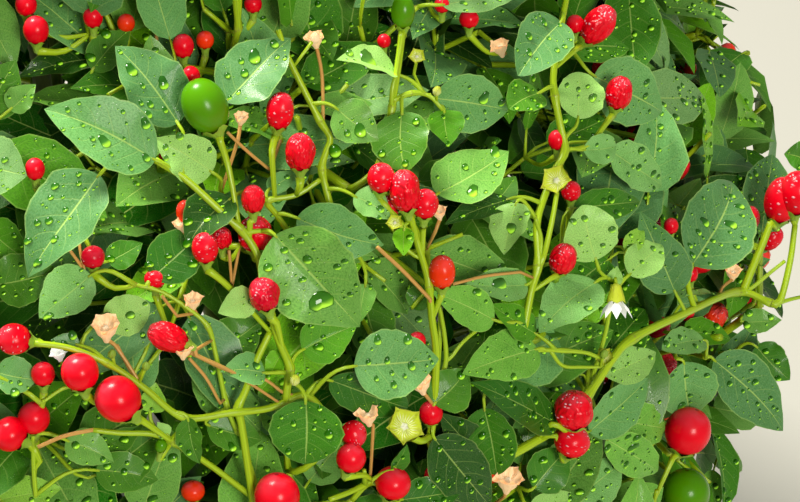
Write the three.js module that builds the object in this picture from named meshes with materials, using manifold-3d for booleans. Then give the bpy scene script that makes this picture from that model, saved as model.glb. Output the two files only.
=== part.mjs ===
// A small-fruited wild chilli bush: a short woody stem, green boughs and a rounded crown of ovate leaves
// with upright oval fruit. Millimetres, +Z up, the origin at the flat cut under the stem at ground level.
import * as THREE from "three";
import { mergeVertices } from "three/addons/utils/BufferGeometryUtils.js";
import Module from "manifold-3d";

const wasm = await Module();
wasm.setup();

// Driving dimensions of the whole bush.
const PLANT_HEIGHT = 400;
const CROWN_WIDTH = 440;
const CROWN_DEPTH = 410;
const CROWN_FOOT = 52;
const HEART_HEIGHT = 190;
const CLEARANCE = 0.3;

// The stem, from its cut at the ground to the fork.
const STEM_HEIGHT = 78;
const STEM_FLARE_RADIUS = 10;
const STEM_FOOT_RADIUS = 6.4;
const STEM_TIP_RADIUS = 4.9;
const STEM_LEAN = new THREE.Vector3(4, -3, 0);
const STEM_RINGS = 8;
const RINGS_LOW_DOWN = 1.35;
const FLARE_HEIGHT = 16;
const ROOT_RIDGES = 5;
const RIDGE_DEPTH = 0.22;

// The boughs. Their radii are at the foot and at the tip.
const LEADER_RADII = [4.3, 2.5];
const SPREADING_RADII = [3.9, 2.3];
const SIDE_RADII = [2.5, 1.9];
const LEADER_BEARING = 75;
const LEADER_ELEVATION = 87;
const LEADER_RISE = 70;
const SPREADING_BEARINGS = [20, 140, 260];
const SPREADING_FEET = [46, 53, 60];
const SPREADING_START = new THREE.Vector3(32, 0, 24);
const SPREADING_END = new THREE.Vector3(40, 0, 12);
const UPPER_FOOT = 0.42;
const UPPER_FOOT_STEP = 0.1;
const LOWER_FEET = { before: 0.45, after: 0.62 };
const SIDE_BEND = 0.45;
const BOUGH_SIDES = 7;
const BOUGH_RINGS = 5;
const LIMB_ROOM = 1.5;
const LIMB_MARKS = 24;

// The masses of foliage. Each fills a cone of the crown that opens outwards from the crown's heart.
const UPPER_MASSES = 5;
const UPPER_BEARING = -52;
const UPPER_ELEVATION = 41;
const LOWER_ELEVATION = -7;
const LOWER_SPREAD = 40;
const INNER_SHARE = 0.4;
const LEAST_REACH = 0.94;
const WALL = 0.6;

// Twigs. The first value is for a mass's own stem, the second for the side shoots that fork off it.
const INTERNODE = [27, 25];
const INTERNODES = [5, 3];
const TWIG_RADIUS = [2, 1.6];
const TWIG_TAPER = 0.9;
const ZIGZAG = 19;
const FORK_ANGLE = 54;
const OUTWARD_PULL = [0.35, 0.12];
const LIFT = 0.12;
const DEEPEST_LEVEL = 1;
const SHOOTS_PER_NODE = 2;
const TWIG_TESTS = 6;

// Leaves and fruit. One leaf here stands for several, so it is larger than life.
const LEAF_LENGTH = [40, 52];
const LEAF_SLENDERNESS = 0.66;
const LEAF_THICKNESS = 1;
const LEAF_WIDEST = 0.4;
const LEAF_FOLD = 3.5;
const LEAF_DROOP = 6;
const LEAF_ROOT = 0.4;
const LEAF_ANGLE = 70;
const LEAF_SETBACK = 5;
const LEAF_SPACING = 4;
const LEAF_SLOPE = 0.45;
const FACE_OUTWARD = 0.7;
const FACE_TILT = 0.8;
const LEAVES_TRIED = 2;
const LENGTHS_TRIED = [1, 0.72];
const LEAVES_PER_MASS = 17;
const ROOT_ROOM = 3.5;
const GOLDEN_TURN = 137.5;
const FRUIT_RADIUS = 5.2;
const FRUIT_LENGTH = 14;
const FRUIT_SINK = 1.2;
const PEDICEL_LENGTH = 14;
const PEDICEL_RADIUS = 0.9;
const FRUIT_LEAN = 0.5;
const FRUIT_PER_MASS = 3;

const UP = new THREE.Vector3(0, 0, 1);
const EAST = new THREE.Vector3(1, 0, 0);
const HEART = new THREE.Vector3(0, 0, HEART_HEIGHT);
const HALF_WIDTH = CROWN_WIDTH / 2;
const HALF_DEPTH = CROWN_DEPTH / 2;
const radians = THREE.MathUtils.degToRad;

// A repeatable stream of numbers from 0 to 1, so that the bush grows the same way each time.
const MODULUS = 2147483647;
function numbersFrom(seed) {
  let state = (seed * 7919 + 104729) % MODULUS;
  const next = () => {
    state = (state * 48271) % MODULUS;
    return state / MODULUS;
  };
  next();
  next();
  return next;
}

const seedOf = (parent, child) => (parent * 16807 + 7919 * (child + 1)) % MODULUS;
const between = ([low, high], share) => low + (high - low) * share;

// A direction from its compass bearing and its elevation, in degrees.
function directionOf(bearing, elevation) {
  const level = Math.cos(radians(elevation));
  return new THREE.Vector3(
    level * Math.cos(radians(bearing)),
    level * Math.sin(radians(bearing)),
    Math.sin(radians(elevation)),
  );
}

// The crown as a dome round its heart: this scales it to a unit ball.
const domeScale = (offset) =>
  new THREE.Vector3(
    HALF_WIDTH,
    HALF_DEPTH,
    offset.z > 0 ? PLANT_HEIGHT - HEART_HEIGHT : HEART_HEIGHT - CROWN_FOOT,
  );

function shareOfReach(point) {
  const offset = point.clone().sub(HEART);
  return offset.divide(domeScale(offset)).length();
}

// The point of the crown that lies a share of the way out along a direction.
const crownPoint = (direction, share) =>
  direction.clone().multiply(domeScale(direction)).multiplyScalar(share).add(HEART);

// A closed geometry as a solid, with the vertices that its faces share joined.
function solidOf(geometry) {
  const bare = geometry.index ? geometry.toNonIndexed() : geometry;
  bare.deleteAttribute("normal");
  bare.deleteAttribute("uv");
  const merged = mergeVertices(bare, 1e-4);
  return new wasm.Manifold(
    new wasm.Mesh({
      numProp: 3,
      vertProperties: merged.attributes.position.array,
      triVerts: merged.index.array,
    }),
  );
}

// The outer body of a solid as a geometry, with any sealed hollow filled and any loose scrap dropped.
function geometryOf(solid) {
  const bodies = solid.simplify(0.01).decompose();
  bodies.sort((a, b) => b.volume() - a.volume());
  const mesh = bodies[0].getMesh();
  return new THREE.BufferGeometry()
    .setAttribute("position", new THREE.BufferAttribute(mesh.vertProperties, 3))
    .setIndex(new THREE.BufferAttribute(mesh.triVerts, 1))
    .toNonIndexed();
}

// Moves each vertex of a geometry to where place(x, y, z) says.
function reshape(geometry, place) {
  const positions = geometry.attributes.position;
  const vertex = new THREE.Vector3();
  for (let i = 0; i < positions.count; i++) {
    vertex.fromBufferAttribute(positions, i);
    const moved = place(vertex.x, vertex.y, vertex.z);
    positions.setXYZ(i, moved.x, moved.y, moved.z);
  }
  return geometry;
}

// A round limb along a curve. radiusAt gives its radius at a share of its length and an angle round it.
function limb(curve, radiusAt, sides, rings) {
  const frames = curve.computeFrenetFrames(rings);
  const rod = new THREE.CylinderGeometry(1, 1, 1, sides, rings);
  return reshape(rod, (x, y, z) => {
    const ring = Math.round((y + 0.5) * rings);
    const share = ring / rings;
    const radius = Math.hypot(x, z) * radiusAt(share, Math.atan2(z, x));
    const across = frames.normals[ring];
    const through = across.clone().cross(frames.tangents[ring]);
    const angle = Math.atan2(z, x);
    return curve
      .getPoint(share)
      .addScaledVector(across, radius * Math.cos(angle))
      .addScaledVector(through, radius * Math.sin(angle));
  });
}

// The stem leans a little and spreads into root ridges at its foot. It is cut flat at ground level.
function stemGeometry(extra = 0) {
  const rod = new THREE.CylinderGeometry(1, 1, 1, 2 * ROOT_RIDGES, STEM_RINGS);
  return reshape(rod, (x, y, z) => {
    const height = (y + 0.5) ** RINGS_LOW_DOWN * STEM_HEIGHT;
    const angle = Math.atan2(z, x);
    const flare = Math.exp(-height / (FLARE_HEIGHT / 2));
    const ridge = 1 + RIDGE_DEPTH * flare * Math.cos(ROOT_RIDGES * angle);
    const shaft = between([STEM_FOOT_RADIUS, STEM_TIP_RADIUS], height / STEM_HEIGHT);
    const radius = (shaft + (STEM_FLARE_RADIUS - STEM_FOOT_RADIUS) * flare) * ridge + extra;
    const out = Math.hypot(x, z) * radius;
    return new THREE.Vector3(out * Math.cos(angle), -out * Math.sin(angle), height).addScaledVector(
      STEM_LEAN,
      (height / STEM_HEIGHT) ** 2,
    );
  });
}

// Boughs, each a tapering limb along a curve from its foot to its tip.
function bough(name, curve, radii) {
  const build = (extra) =>
    solidOf(limb(curve, (share) => between(radii, share) + extra, BOUGH_SIDES, BOUGH_RINGS));
  return { name, curve, radii, solid: build(0), space: build(CLEARANCE) };
}

const stem = { name: "stem", solid: solidOf(stemGeometry()), space: solidOf(stemGeometry(CLEARANCE)) };
const forkPoint = new THREE.Vector3(0, 0, STEM_HEIGHT).add(STEM_LEAN);

// The leader goes up from the stem's tip. It carries the upper masses.
const leaderDirection = directionOf(LEADER_BEARING, LEADER_ELEVATION);
const leader = bough(
  "leader_bough",
  new THREE.QuadraticBezierCurve3(
    forkPoint.clone().addScaledVector(UP, CLEARANCE),
    forkPoint.clone().addScaledVector(UP, LEADER_RISE),
    crownPoint(leaderDirection, INNER_SHARE),
  ),
  LEADER_RADII,
);

// Three spreading boughs leave the stem's side one above another. Each carries three lower masses.
const spreadingBoughs = SPREADING_BEARINGS.map((bearing, i) => {
  const tip = crownPoint(directionOf(bearing, LOWER_ELEVATION), INNER_SHARE);
  const height = SPREADING_FEET[i];
  const foot = STEM_LEAN.clone()
    .multiplyScalar((height / STEM_HEIGHT) ** 2)
    .setZ(height);
  const start = SPREADING_START.clone().applyAxisAngle(UP, radians(bearing)).add(foot);
  const end = tip.clone().sub(SPREADING_END.clone().applyAxisAngle(UP, radians(bearing)));
  const curve = new THREE.CubicBezierCurve3(foot, start, end, tip);
  const made = bough(`spreading_bough_${i + 1}`, curve, SPREADING_RADII);
  made.solid = made.solid.subtract(stem.space);
  return made;
});

// A side bough leaves its parent a share of the way along, and ends where its mass begins.
function sideBough(name, parent, share, direction) {
  const foot = parent.curve.getPoint(share);
  const tip = crownPoint(direction, INNER_SHARE);
  const outward = tip.clone().sub(HEART).normalize();
  const bend = tip.clone().addScaledVector(outward, -SIDE_BEND * foot.distanceTo(tip));
  const made = bough(name, new THREE.QuadraticBezierCurve3(foot, bend, tip), SIDE_RADII);
  made.solid = made.solid.subtract(parent.space);
  return made;
}

// Every mass: its name, its direction out of the heart, and the bough whose tip carries it.
const masses = [{ name: "foliage_top", direction: leaderDirection, carrier: leader }];
for (let i = 0; i < UPPER_MASSES; i++) {
  const direction = directionOf(UPPER_BEARING + (360 / UPPER_MASSES) * i, UPPER_ELEVATION);
  const share = UPPER_FOOT + UPPER_FOOT_STEP * i;
  const carrier = sideBough(`upper_bough_${i + 1}`, leader, share, direction);
  masses.push({ name: `foliage_upper_${i + 1}`, direction, carrier });
}
spreadingBoughs.forEach((parent, i) => {
  [-1, 0, 1].forEach((side) => {
    const number = 3 * i + side + 2;
    const direction = directionOf(SPREADING_BEARINGS[i] + side * LOWER_SPREAD, LOWER_ELEVATION);
    const share = side < 0 ? LOWER_FEET.before : LOWER_FEET.after;
    const carrier = side ? sideBough(`lower_bough_${number}`, parent, share, direction) : parent;
    masses.push({ name: `foliage_lower_${number}`, direction, carrier });
  });
});
masses.forEach((mass, i) => {
  mass.seed = i + 1;
  mass.reach = i ? between([LEAST_REACH, 1], numbersFrom(seedOf(mass.seed, 0))()) : 1;
});

const limbs = [stem, leader, ...spreadingBoughs];
masses.forEach((mass) => {
  if (!limbs.includes(mass.carrier)) limbs.push(mass.carrier);
});

// Each limb's centre line and radius, marked along its length.
limbs.forEach((each) => {
  const line = each.curve ?? new THREE.LineCurve3(new THREE.Vector3(), forkPoint);
  const radii = each.radii ?? [STEM_FOOT_RADIUS, STEM_TIP_RADIUS];
  each.marks = Array.from({ length: LIMB_MARKS + 1 }, (_, i) => ({
    at: line.getPoint(i / LIMB_MARKS),
    radius: between(radii, i / LIMB_MARKS),
  }));
});

// Whether a point is in a mass's own cone, as far as asked from the walls between it and its neighbours.
function inSpace(mass, point, margin = WALL) {
  if (point.z < CROWN_FOOT + margin || shareOfReach(point) > mass.reach) return false;
  const offset = point.clone().sub(HEART);
  const scale = domeScale(offset);
  return masses.every((other) => {
    if (other === mass) return true;
    const wall = mass.direction.clone().sub(other.direction).divide(scale).normalize();
    return offset.dot(wall) > margin;
  });
}

// Whether a straight twig stays clear of the limbs, tested from point to point along both.
function clearOfLimbs(from, to, radius) {
  const point = new THREE.Vector3();
  for (let i = 1; i <= TWIG_TESTS; i++) {
    point.lerpVectors(from, to, i / TWIG_TESTS);
    const touched = limbs.some(({ marks }) =>
      marks.some((mark) => mark.at.distanceTo(point) < mark.radius + radius + LIMB_ROOM),
    );
    if (touched) return false;
  }
  return true;
}

// The direction that leans from another by an angle, towards a bearing round it.
function leaning(along, angle, bearing) {
  const level = Math.abs(along.z) < 0.95 ? UP : EAST;
  const aside = level.clone().cross(along).normalize().applyAxisAngle(along, radians(bearing));
  return along.clone().applyAxisAngle(aside, radians(angle));
}

// The shoots of a mass. Its own stem grows outwards in a zigzag, and at each node side shoots fork off.
function growShoots(mass) {
  const shoots = [];

  function growShoot(start, heading, level, seed) {
    const random = numbersFrom(seed);
    const spin = 360 * random();
    const shoot = { points: [start], radius: TWIG_RADIUS[level], level, nodes: [] };
    let along = heading;
    let radius = shoot.radius;
    const forks = [];
    for (let i = 0; i < INTERNODES[level]; i++) {
      const from = shoot.points.at(-1);
      const step = INTERNODE[level] * between([0.85, 1.15], random());
      if (i || level) {
        const outward = from.clone().sub(HEART).normalize();
        along = leaning(along, ZIGZAG, spin + 180 * i + 50 * random())
          .addScaledVector(outward, OUTWARD_PULL[level])
          .addScaledVector(UP, LIFT)
          .normalize();
      }
      const to = from.clone().addScaledVector(along, step);
      const own = i || level;
      if (!inSpace(mass, to, WALL + radius) || (own && !clearOfLimbs(from, to, radius))) break;
      shoot.points.push(to);
      radius *= TWIG_TAPER;
      shoot.nodes.push({ at: to, along, radius, seed: seedOf(seed, 90 + i) });
      for (let k = 0; level < DEEPEST_LEVEL && k < SHOOTS_PER_NODE; k++) {
        const turn = spin + GOLDEN_TURN * i + (360 / SHOOTS_PER_NODE) * k;
        forks.push([to, leaning(along, FORK_ANGLE, turn), level + 1, seedOf(seed, 10 * i + k)]);
      }
    }
    if (shoot.nodes.length) shoots.push(shoot);
    forks.forEach((fork) => growShoot(...fork));
  }

  const { curve } = mass.carrier;
  const heading = curve.getTangent(1);
  growShoot(curve.getPoint(1).addScaledVector(heading, CLEARANCE), heading, 0, mass.seed);
  return shoots;
}

// A three-sided shoot through its nodes, which tapers by the same share at each.
function shootSolid({ points, radius }) {
  const count = points.length - 1;
  const curve = new THREE.CatmullRomCurve3(points, false, "centripetal");
  return solidOf(limb(curve, (share) => radius * TWIG_TAPER ** (share * count), 3, count));
}

// A leaf of eight faces: a pointed oval, folded up along its midrib, whose tip bends down.
function leafSolid(at, tipward, face, length) {
  const across = tipward.clone().cross(face);
  const blade = new THREE.OctahedronGeometry(1, 0);
  return solidOf(
    reshape(blade, (x, y, z) => {
      const along = LEAF_WIDEST + (x < 0 ? LEAF_WIDEST : 1 - LEAF_WIDEST) * x;
      const edge = Math.abs(z) * LEAF_FOLD;
      const droop = x > 0 ? x * LEAF_DROOP : 0;
      return at
        .clone()
        .addScaledVector(tipward, along * length - LEAF_ROOT)
        .addScaledVector(across, (z * length * LEAF_SLENDERNESS) / 2)
        .addScaledVector(face, edge - droop + (y * LEAF_THICKNESS) / 2);
    }),
  );
}

// A fruit that stands up on its stalk.
function fruitSolid(at, upward) {
  const top = at.clone().addScaledVector(upward, PEDICEL_LENGTH);
  const line = new THREE.LineCurve3(at, top);
  const stalk = solidOf(limb(line, (share) => PEDICEL_RADIUS * (1 + share / 2), 3, 1));
  const oval = new THREE.SphereGeometry(1, 5, 3);
  oval.scale(FRUIT_RADIUS, FRUIT_LENGTH / 2, FRUIT_RADIUS);
  oval.applyQuaternion(new THREE.Quaternion().setFromUnitVectors(new THREE.Vector3(0, 1, 0), upward));
  const middle = top.addScaledVector(upward, FRUIT_LENGTH / 2 - FRUIT_SINK);
  oval.translate(middle.x, middle.y, middle.z);
  return stalk.add(solidOf(oval));
}

// The leaves tried just short of a node face the light, and turn round the twig from one to the next.
function leafPlacesAt(node, index) {
  const random = numbersFrom(node.seed);
  const outward = node.at.clone().sub(HEART).normalize();
  return Array.from({ length: LEAVES_TRIED }, (_, k) => {
    const tipward = leaning(node.along, LEAF_ANGLE, GOLDEN_TURN * (index + k))
      .addScaledVector(outward, LEAF_SLOPE)
      .normalize();
    const tilt = new THREE.Vector3(random() - 0.5, random() - 0.5, random() - 0.5);
    const face = UP.clone().addScaledVector(outward, FACE_OUTWARD).addScaledVector(tilt, FACE_TILT);
    face.projectOnPlane(tipward).normalize();
    const at = node.at.clone().addScaledVector(node.along, -LEAF_SETBACK - LEAF_SPACING * k);
    return { at, tipward, face, length: between(LEAF_LENGTH, random()) };
  });
}

// Whether a solid keeps to its mass's space and touches no limb.
function fits(mass, solid) {
  const { vertProperties } = solid.getMesh();
  for (let i = 0; i < vertProperties.length; i += 3)
    if (!inSpace(mass, new THREE.Vector3().fromArray(vertProperties, i))) return false;
  return limbs.every((each) => each.space.intersect(solid).isEmpty());
}

// One mass: its shoots, with fruit and leaves fused on wherever they meet nothing but their own twig.
function massGeometry(mass) {
  const shoots = growShoots(mass);
  let body = shoots.map(shootSolid).reduce((a, b) => a.add(b));
  const nodes = shoots.flatMap((shoot) => shoot.nodes);
  nodes.sort((a, b) => shareOfReach(b.at) - shareOfReach(a.at));

  let fruit = 0;
  nodes.forEach((node) => {
    const outward = node.at.clone().sub(HEART).normalize();
    const upward = UP.clone().addScaledVector(outward, FRUIT_LEAN).normalize();
    const tried = fruitSolid(node.at.clone().addScaledVector(upward, ROOT_ROOM), upward);
    if (fruit === FRUIT_PER_MASS || !fits(mass, tried) || !tried.intersect(body).isEmpty()) return;
    body = body.add(fruitSolid(node.at, upward));
    fruit += 1;
  });

  let leaves = 0;
  for (let k = 0; k < LEAVES_TRIED; k++)
    nodes.forEach((node, index) => {
      if (leaves === LEAVES_PER_MASS) return;
      const { at, tipward, face, length } = leafPlacesAt(node, index)[k];
      const freeRoot = at.clone().addScaledVector(tipward, ROOT_ROOM);
      const size = LENGTHS_TRIED.find((share) => {
        const tried = leafSolid(freeRoot, tipward, face, share * length);
        return fits(mass, tried) && tried.intersect(body).isEmpty();
      });
      if (!size) return;
      body = body.add(leafSolid(at, tipward, face, size * length));
      leaves += 1;
    });
  return geometryOf(body);
}

const BARK = new THREE.MeshStandardMaterial({ color: 0x8a7a52, roughness: 0.85 });
const GREEN_WOOD = new THREE.MeshStandardMaterial({ color: 0x7a8a35, roughness: 0.65 });
const LEAF_GREEN = new THREE.MeshStandardMaterial({ color: 0x3f7a35, roughness: 0.5 });

const plant = new THREE.Group();
function addPiece(name, geometry, material) {
  const mesh = new THREE.Mesh(geometry, material);
  mesh.name = name;
  plant.add(mesh);
}

limbs.forEach((each) => addPiece(each.name, geometryOf(each.solid), each === stem ? BARK : GREEN_WOOD));
masses.forEach((mass) => addPiece(mass.name, massGeometry(mass), LEAF_GREEN));

export default plant;
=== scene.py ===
import math
from functools import partialmethod

import bpy
import numpy as np
from mathutils import Matrix, Vector


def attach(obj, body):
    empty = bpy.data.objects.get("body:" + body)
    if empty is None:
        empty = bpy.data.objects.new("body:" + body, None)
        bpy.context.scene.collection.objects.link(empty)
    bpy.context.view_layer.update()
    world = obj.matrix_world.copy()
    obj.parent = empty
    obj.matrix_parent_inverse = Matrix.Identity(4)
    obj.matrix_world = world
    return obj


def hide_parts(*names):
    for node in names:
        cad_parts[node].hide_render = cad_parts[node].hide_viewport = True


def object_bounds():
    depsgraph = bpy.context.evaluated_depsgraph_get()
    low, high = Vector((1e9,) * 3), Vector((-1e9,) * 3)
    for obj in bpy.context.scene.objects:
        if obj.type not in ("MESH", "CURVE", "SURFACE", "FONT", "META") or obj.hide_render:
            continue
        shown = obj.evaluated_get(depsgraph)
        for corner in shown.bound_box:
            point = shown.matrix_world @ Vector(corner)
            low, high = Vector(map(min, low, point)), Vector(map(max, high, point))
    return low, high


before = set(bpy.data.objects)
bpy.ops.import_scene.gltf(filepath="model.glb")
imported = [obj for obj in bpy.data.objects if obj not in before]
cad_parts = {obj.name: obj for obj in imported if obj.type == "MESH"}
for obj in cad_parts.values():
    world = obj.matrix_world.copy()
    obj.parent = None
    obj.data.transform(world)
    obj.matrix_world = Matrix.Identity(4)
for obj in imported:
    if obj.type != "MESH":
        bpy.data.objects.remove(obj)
cad_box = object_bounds()
box_low, box_high = (np.array(end) * 1000 for end in cad_box)

MM = 0.001

# The stem. One short stem, half woody, carries the bush. It leans a little, has root ridges at its foot, is
# cut flat at ground level, and its grey-brown bark is finely fissured over green.
MODULUS = 2147483647
STEM_HEIGHT = 78
STEM_FLARE_RADIUS = 10
STEM_FOOT_RADIUS = 6.4
STEM_TIP_RADIUS = 4.9
STEM_LEAN = np.array([4.0, -3.0, 0.0])
FLARE_HEIGHT = 16
ROOT_RIDGES = 5
RIDGE_DEPTH = 0.22
RINGS_LOW_DOWN = 1.35
UP = np.array([0.0, 0.0, 1.0])
EAST = np.array([1.0, 0.0, 0.0])
NEARLY_UPRIGHT = 0.95
STEM_RINGS, STEM_SIDES = 70, 50


def numbers_from(seed):
    """A repeatable stream of numbers from 0 to 1."""
    state = (seed * 7919 + 104729) % MODULUS

    def draw():
        nonlocal state
        state = state * 48271 % MODULUS
        return state / MODULUS

    draw()
    draw()
    return draw


def seed_of(parent, child):
    return (parent * 16807 + 7919 * (child + 1)) % MODULUS


def between(ends, share):
    return ends[0] + (ends[1] - ends[0]) * share


def unit(vector):
    return vector / np.linalg.norm(vector, axis=-1, keepdims=True)


def angles_round(sides):
    return 2 * math.pi * np.arange(sides) / sides


def tube_faces(rings, sides):
    """The quads of a tube of rings, and where each corner lies round it and along it."""
    ring, side = np.meshgrid(np.arange(rings - 1), np.arange(sides), indexing="ij")
    ring, side = ring.ravel(), side.ravel()
    here, above = ring * sides, (ring + 1) * sides
    after = (side + 1) % sides
    quads = np.stack([here + side, here + after, above + after, above + side], 1)
    round_it = np.stack([side, side + 1, side + 1, side], 1) / sides
    along_it = np.stack([ring, ring, ring + 1, ring + 1], 1)
    return quads, round_it, along_it


def end_faces(rings, sides):
    """The faces that close the two ends of a tube."""
    return np.array([np.arange(sides)[::-1], np.arange(sides) + (rings - 1) * sides])


def tube(path, radii, sides, relief=None):
    """Points of a tube round a path, ring by ring. relief(angles, lengths) is added to its radius."""
    path = np.asarray(path, float)
    tangents = unit(np.gradient(path, axis=0))
    lengths = np.concatenate([[0], np.cumsum(np.linalg.norm(np.diff(path, axis=0), axis=1))])
    across = np.cross(tangents[0], UP if abs(tangents[0][2]) < NEARLY_UPRIGHT else EAST)
    angles = angles_round(sides)
    points = []
    for centre, tangent, radius, length in zip(path, tangents, radii, lengths):
        across = unit(across - tangent * (across @ tangent))
        through = np.cross(tangent, across)
        reach = radius + (relief(angles, length) if relief else 0)
        aside = np.outer(reach * np.cos(angles), across)
        points.append(centre + aside + np.outer(reach * np.sin(angles), through))
    return np.concatenate(points)


class Heap:
    """Points, faces and picture places gathered for one mesh."""

    def __init__(self):
        self.points, self.faces, self.places, self.count = [], {}, {}, 0

    def add(self, points, *groups):
        """Adds points, and groups of faces of one size with the place of each of their corners."""
        for faces, places in groups:
            self.faces.setdefault(faces.shape[-1], []).append(faces + self.count)
            self.places.setdefault(faces.shape[-1], []).append(places)
        self.points.append(points)
        self.count += len(points)

    def add_many(self, points, spots, *faces_of_one):
        """Adds many parts of one shape: each part's points, the place of each point, and their faces."""
        starts = (np.arange(len(points)) * points.shape[1])[:, None, None]
        groups = []
        for faces in faces_of_one:
            size = faces.shape[1]
            groups.append(((faces + starts).reshape(-1, size), spots[:, faces].reshape(-1, size, 2)))
        self.add(points.reshape(-1, 3), *groups)

    def add_tube(self, path, radii, sides, cell=(0, 0), marks=None, relief=None):
        """Adds a closed tube. marks says how far along its internode each ring starts and ends."""
        rings = len(path)
        quads, round_it, along_it = tube_faces(rings, sides)
        if marks is None:
            ends = np.linspace(0, 1, rings)
            marks = np.stack([ends[:-1], ends[1:]], 1)
        start = along_it[:, :1]
        along = np.where(along_it == start, marks[start, 0], marks[start, 1])
        places = in_cell(np.stack([round_it, along], -1), cell)
        end_places = in_cell(np.full((2, sides, 2), 0.5), cell)
        self.add(tube(path, radii, sides, relief), (quads, places), (end_faces(rings, sides), end_places))


CELLS = 4
CELL_MARGIN = 0.03


def in_cell(places, cell):
    """Places from 0 to 1, set in one cell of the four by four that a finish is laid out in."""
    inner = CELL_MARGIN + (1 - 2 * CELL_MARGIN) * places
    return (inner + np.asarray(cell, float)) / CELLS


def piece_of(name, heap, finish, stands_for):
    """Makes one piece from a heap of points in mm, fixed to the plant's one body."""
    mesh = bpy.data.meshes.new(name)
    points = np.concatenate(heap.points) * MM
    mesh.vertices.add(len(points))
    mesh.vertices.foreach_set("co", points.astype(np.float32).ravel())
    groups = {size: np.concatenate(faces) for size, faces in heap.faces.items()}
    corners = np.concatenate([faces.ravel() for faces in groups.values()])
    sizes = np.concatenate([np.full(len(faces), size) for size, faces in groups.items()])
    mesh.loops.add(len(corners))
    mesh.loops.foreach_set("vertex_index", corners.astype(np.int32))
    mesh.polygons.add(len(sizes))
    mesh.polygons.foreach_set("loop_start", (np.cumsum(sizes) - sizes).astype(np.int32))
    mesh.update(calc_edges=True)
    places = np.concatenate([np.concatenate(heap.places[size]).reshape(-1, 2) for size in groups])
    mesh.uv_layers.new(name="OFBake").data.foreach_set("uv", places.astype(np.float32).ravel())
    mesh.polygons.foreach_set("use_smooth", np.ones(len(sizes), bool))
    mesh.validate()
    mesh.materials.append(finish.material)
    piece = bpy.data.objects.new(name, mesh)
    bpy.context.scene.collection.objects.link(piece)
    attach(piece, "root")
    if stands_for:
        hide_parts(*stands_for)


class Wire:
    """A value in a finish. Sums, products and powers of wires are Math nodes."""

    def __init__(self, finish, socket):
        self.finish, self.socket = finish, socket

    def maths(self, operation, *others):
        return self.finish.make("Math", {"operation": operation}, dict(enumerate((self, *others))))

    __add__ = __radd__ = partialmethod(maths, "ADD")
    __sub__ = partialmethod(maths, "SUBTRACT")
    __mul__ = __rmul__ = partialmethod(maths, "MULTIPLY")
    __pow__ = partialmethod(maths, "POWER")
    __gt__ = partialmethod(maths, "GREATER_THAN")
    __lt__ = partialmethod(maths, "LESS_THAN")
    __mod__ = partialmethod(maths, "FLOORED_MODULO")
    __abs__ = partialmethod(maths, "ABSOLUTE")
    __floor__ = partialmethod(maths, "FLOOR")

    def __rsub__(self, other):
        return self.finish.make("Math", {"operation": "SUBTRACT"}, {0: other, 1: self})

    def eased(self, low, high):
        """0 below low, 1 above high, and smooth in between."""
        limits = {"Value": self, "From Min": low, "From Max": high}
        return self.finish.make("MapRange", {"interpolation_type": "SMOOTHSTEP"}, limits)


class Finish:
    """A material built of nodes."""

    def __init__(self, name, **constants):
        self.material = bpy.data.materials.new(name)
        self.material.use_nodes = True
        self.tree = self.material.node_tree
        self.skin = self.tree.nodes["Principled BSDF"]
        self.set(**constants)

    def set(self, **values):
        """Sets sockets of the surface, such as Base_Color, to values or wires."""
        for key, value in values.items():
            self.feed(self.skin.inputs[key.replace("_", " ")], value)

    def feed(self, socket, value):
        if isinstance(value, Wire):
            self.tree.links.new(value.socket, socket)
        elif socket.type == "RGBA" and len(value) == 3:
            socket.default_value = (*value, 1)
        else:
            socket.default_value = value

    def make(self, kind, settings=(), inputs=(), out=0):
        """Adds one node: its type, its settings, its sockets' values or wires, and the output wanted."""
        node = self.tree.nodes.new("ShaderNode" + kind)
        for key, value in dict(settings).items():
            if key == "stops":
                node.color_ramp.interpolation = "CONSTANT"
                while len(node.color_ramp.elements) < len(value):
                    node.color_ramp.elements.new(1)
                for element, (position, colour) in zip(node.color_ramp.elements, value):
                    element.position = position
                    element.color = (*colour, 1)
            else:
                setattr(node, key, value)
        for key, value in dict(inputs).items():
            self.feed(node.inputs[key], value)
        return Wire(self, node.outputs[out])

    def cells(self):
        """The place on a piece, and that place counted in cells, across and along."""
        place = self.make("UVMap", {"uv_map": "OFBake"})
        return place, *(self.make("SeparateXYZ", (), {0: place}, axis) * CELLS for axis in (0, 1))

    def one_of(self, number, colours):
        """The colour that has a number in a row of colours."""
        stops = [(i / len(colours), colour) for i, colour in enumerate(colours)]
        return self.make("ValToRGB", {"stops": stops}, {0: (number + 0.5) * (1 / len(colours))})

    def mix(self, share, one, other):
        """A colour that goes from one to other."""
        return self.make("Mix", {"data_type": "RGBA"}, {0: share, 6: one, 7: other}, 2)

    def noise(self, vector, scale, detail=2):
        """Soft noise. With three scales it is stretched."""
        if isinstance(scale, tuple):
            vector = self.make("Mapping", (), {"Vector": vector, "Scale": scale})
            scale = 1
        return self.make("TexNoise", (), {"Vector": vector, "Scale": scale, "Detail": detail})

    def bump(self, height, distance, strength=1.0):
        normal = self.make("Bump", (), {"Height": height, "Distance": distance, "Strength": strength})
        self.set(Normal=normal)


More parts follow.
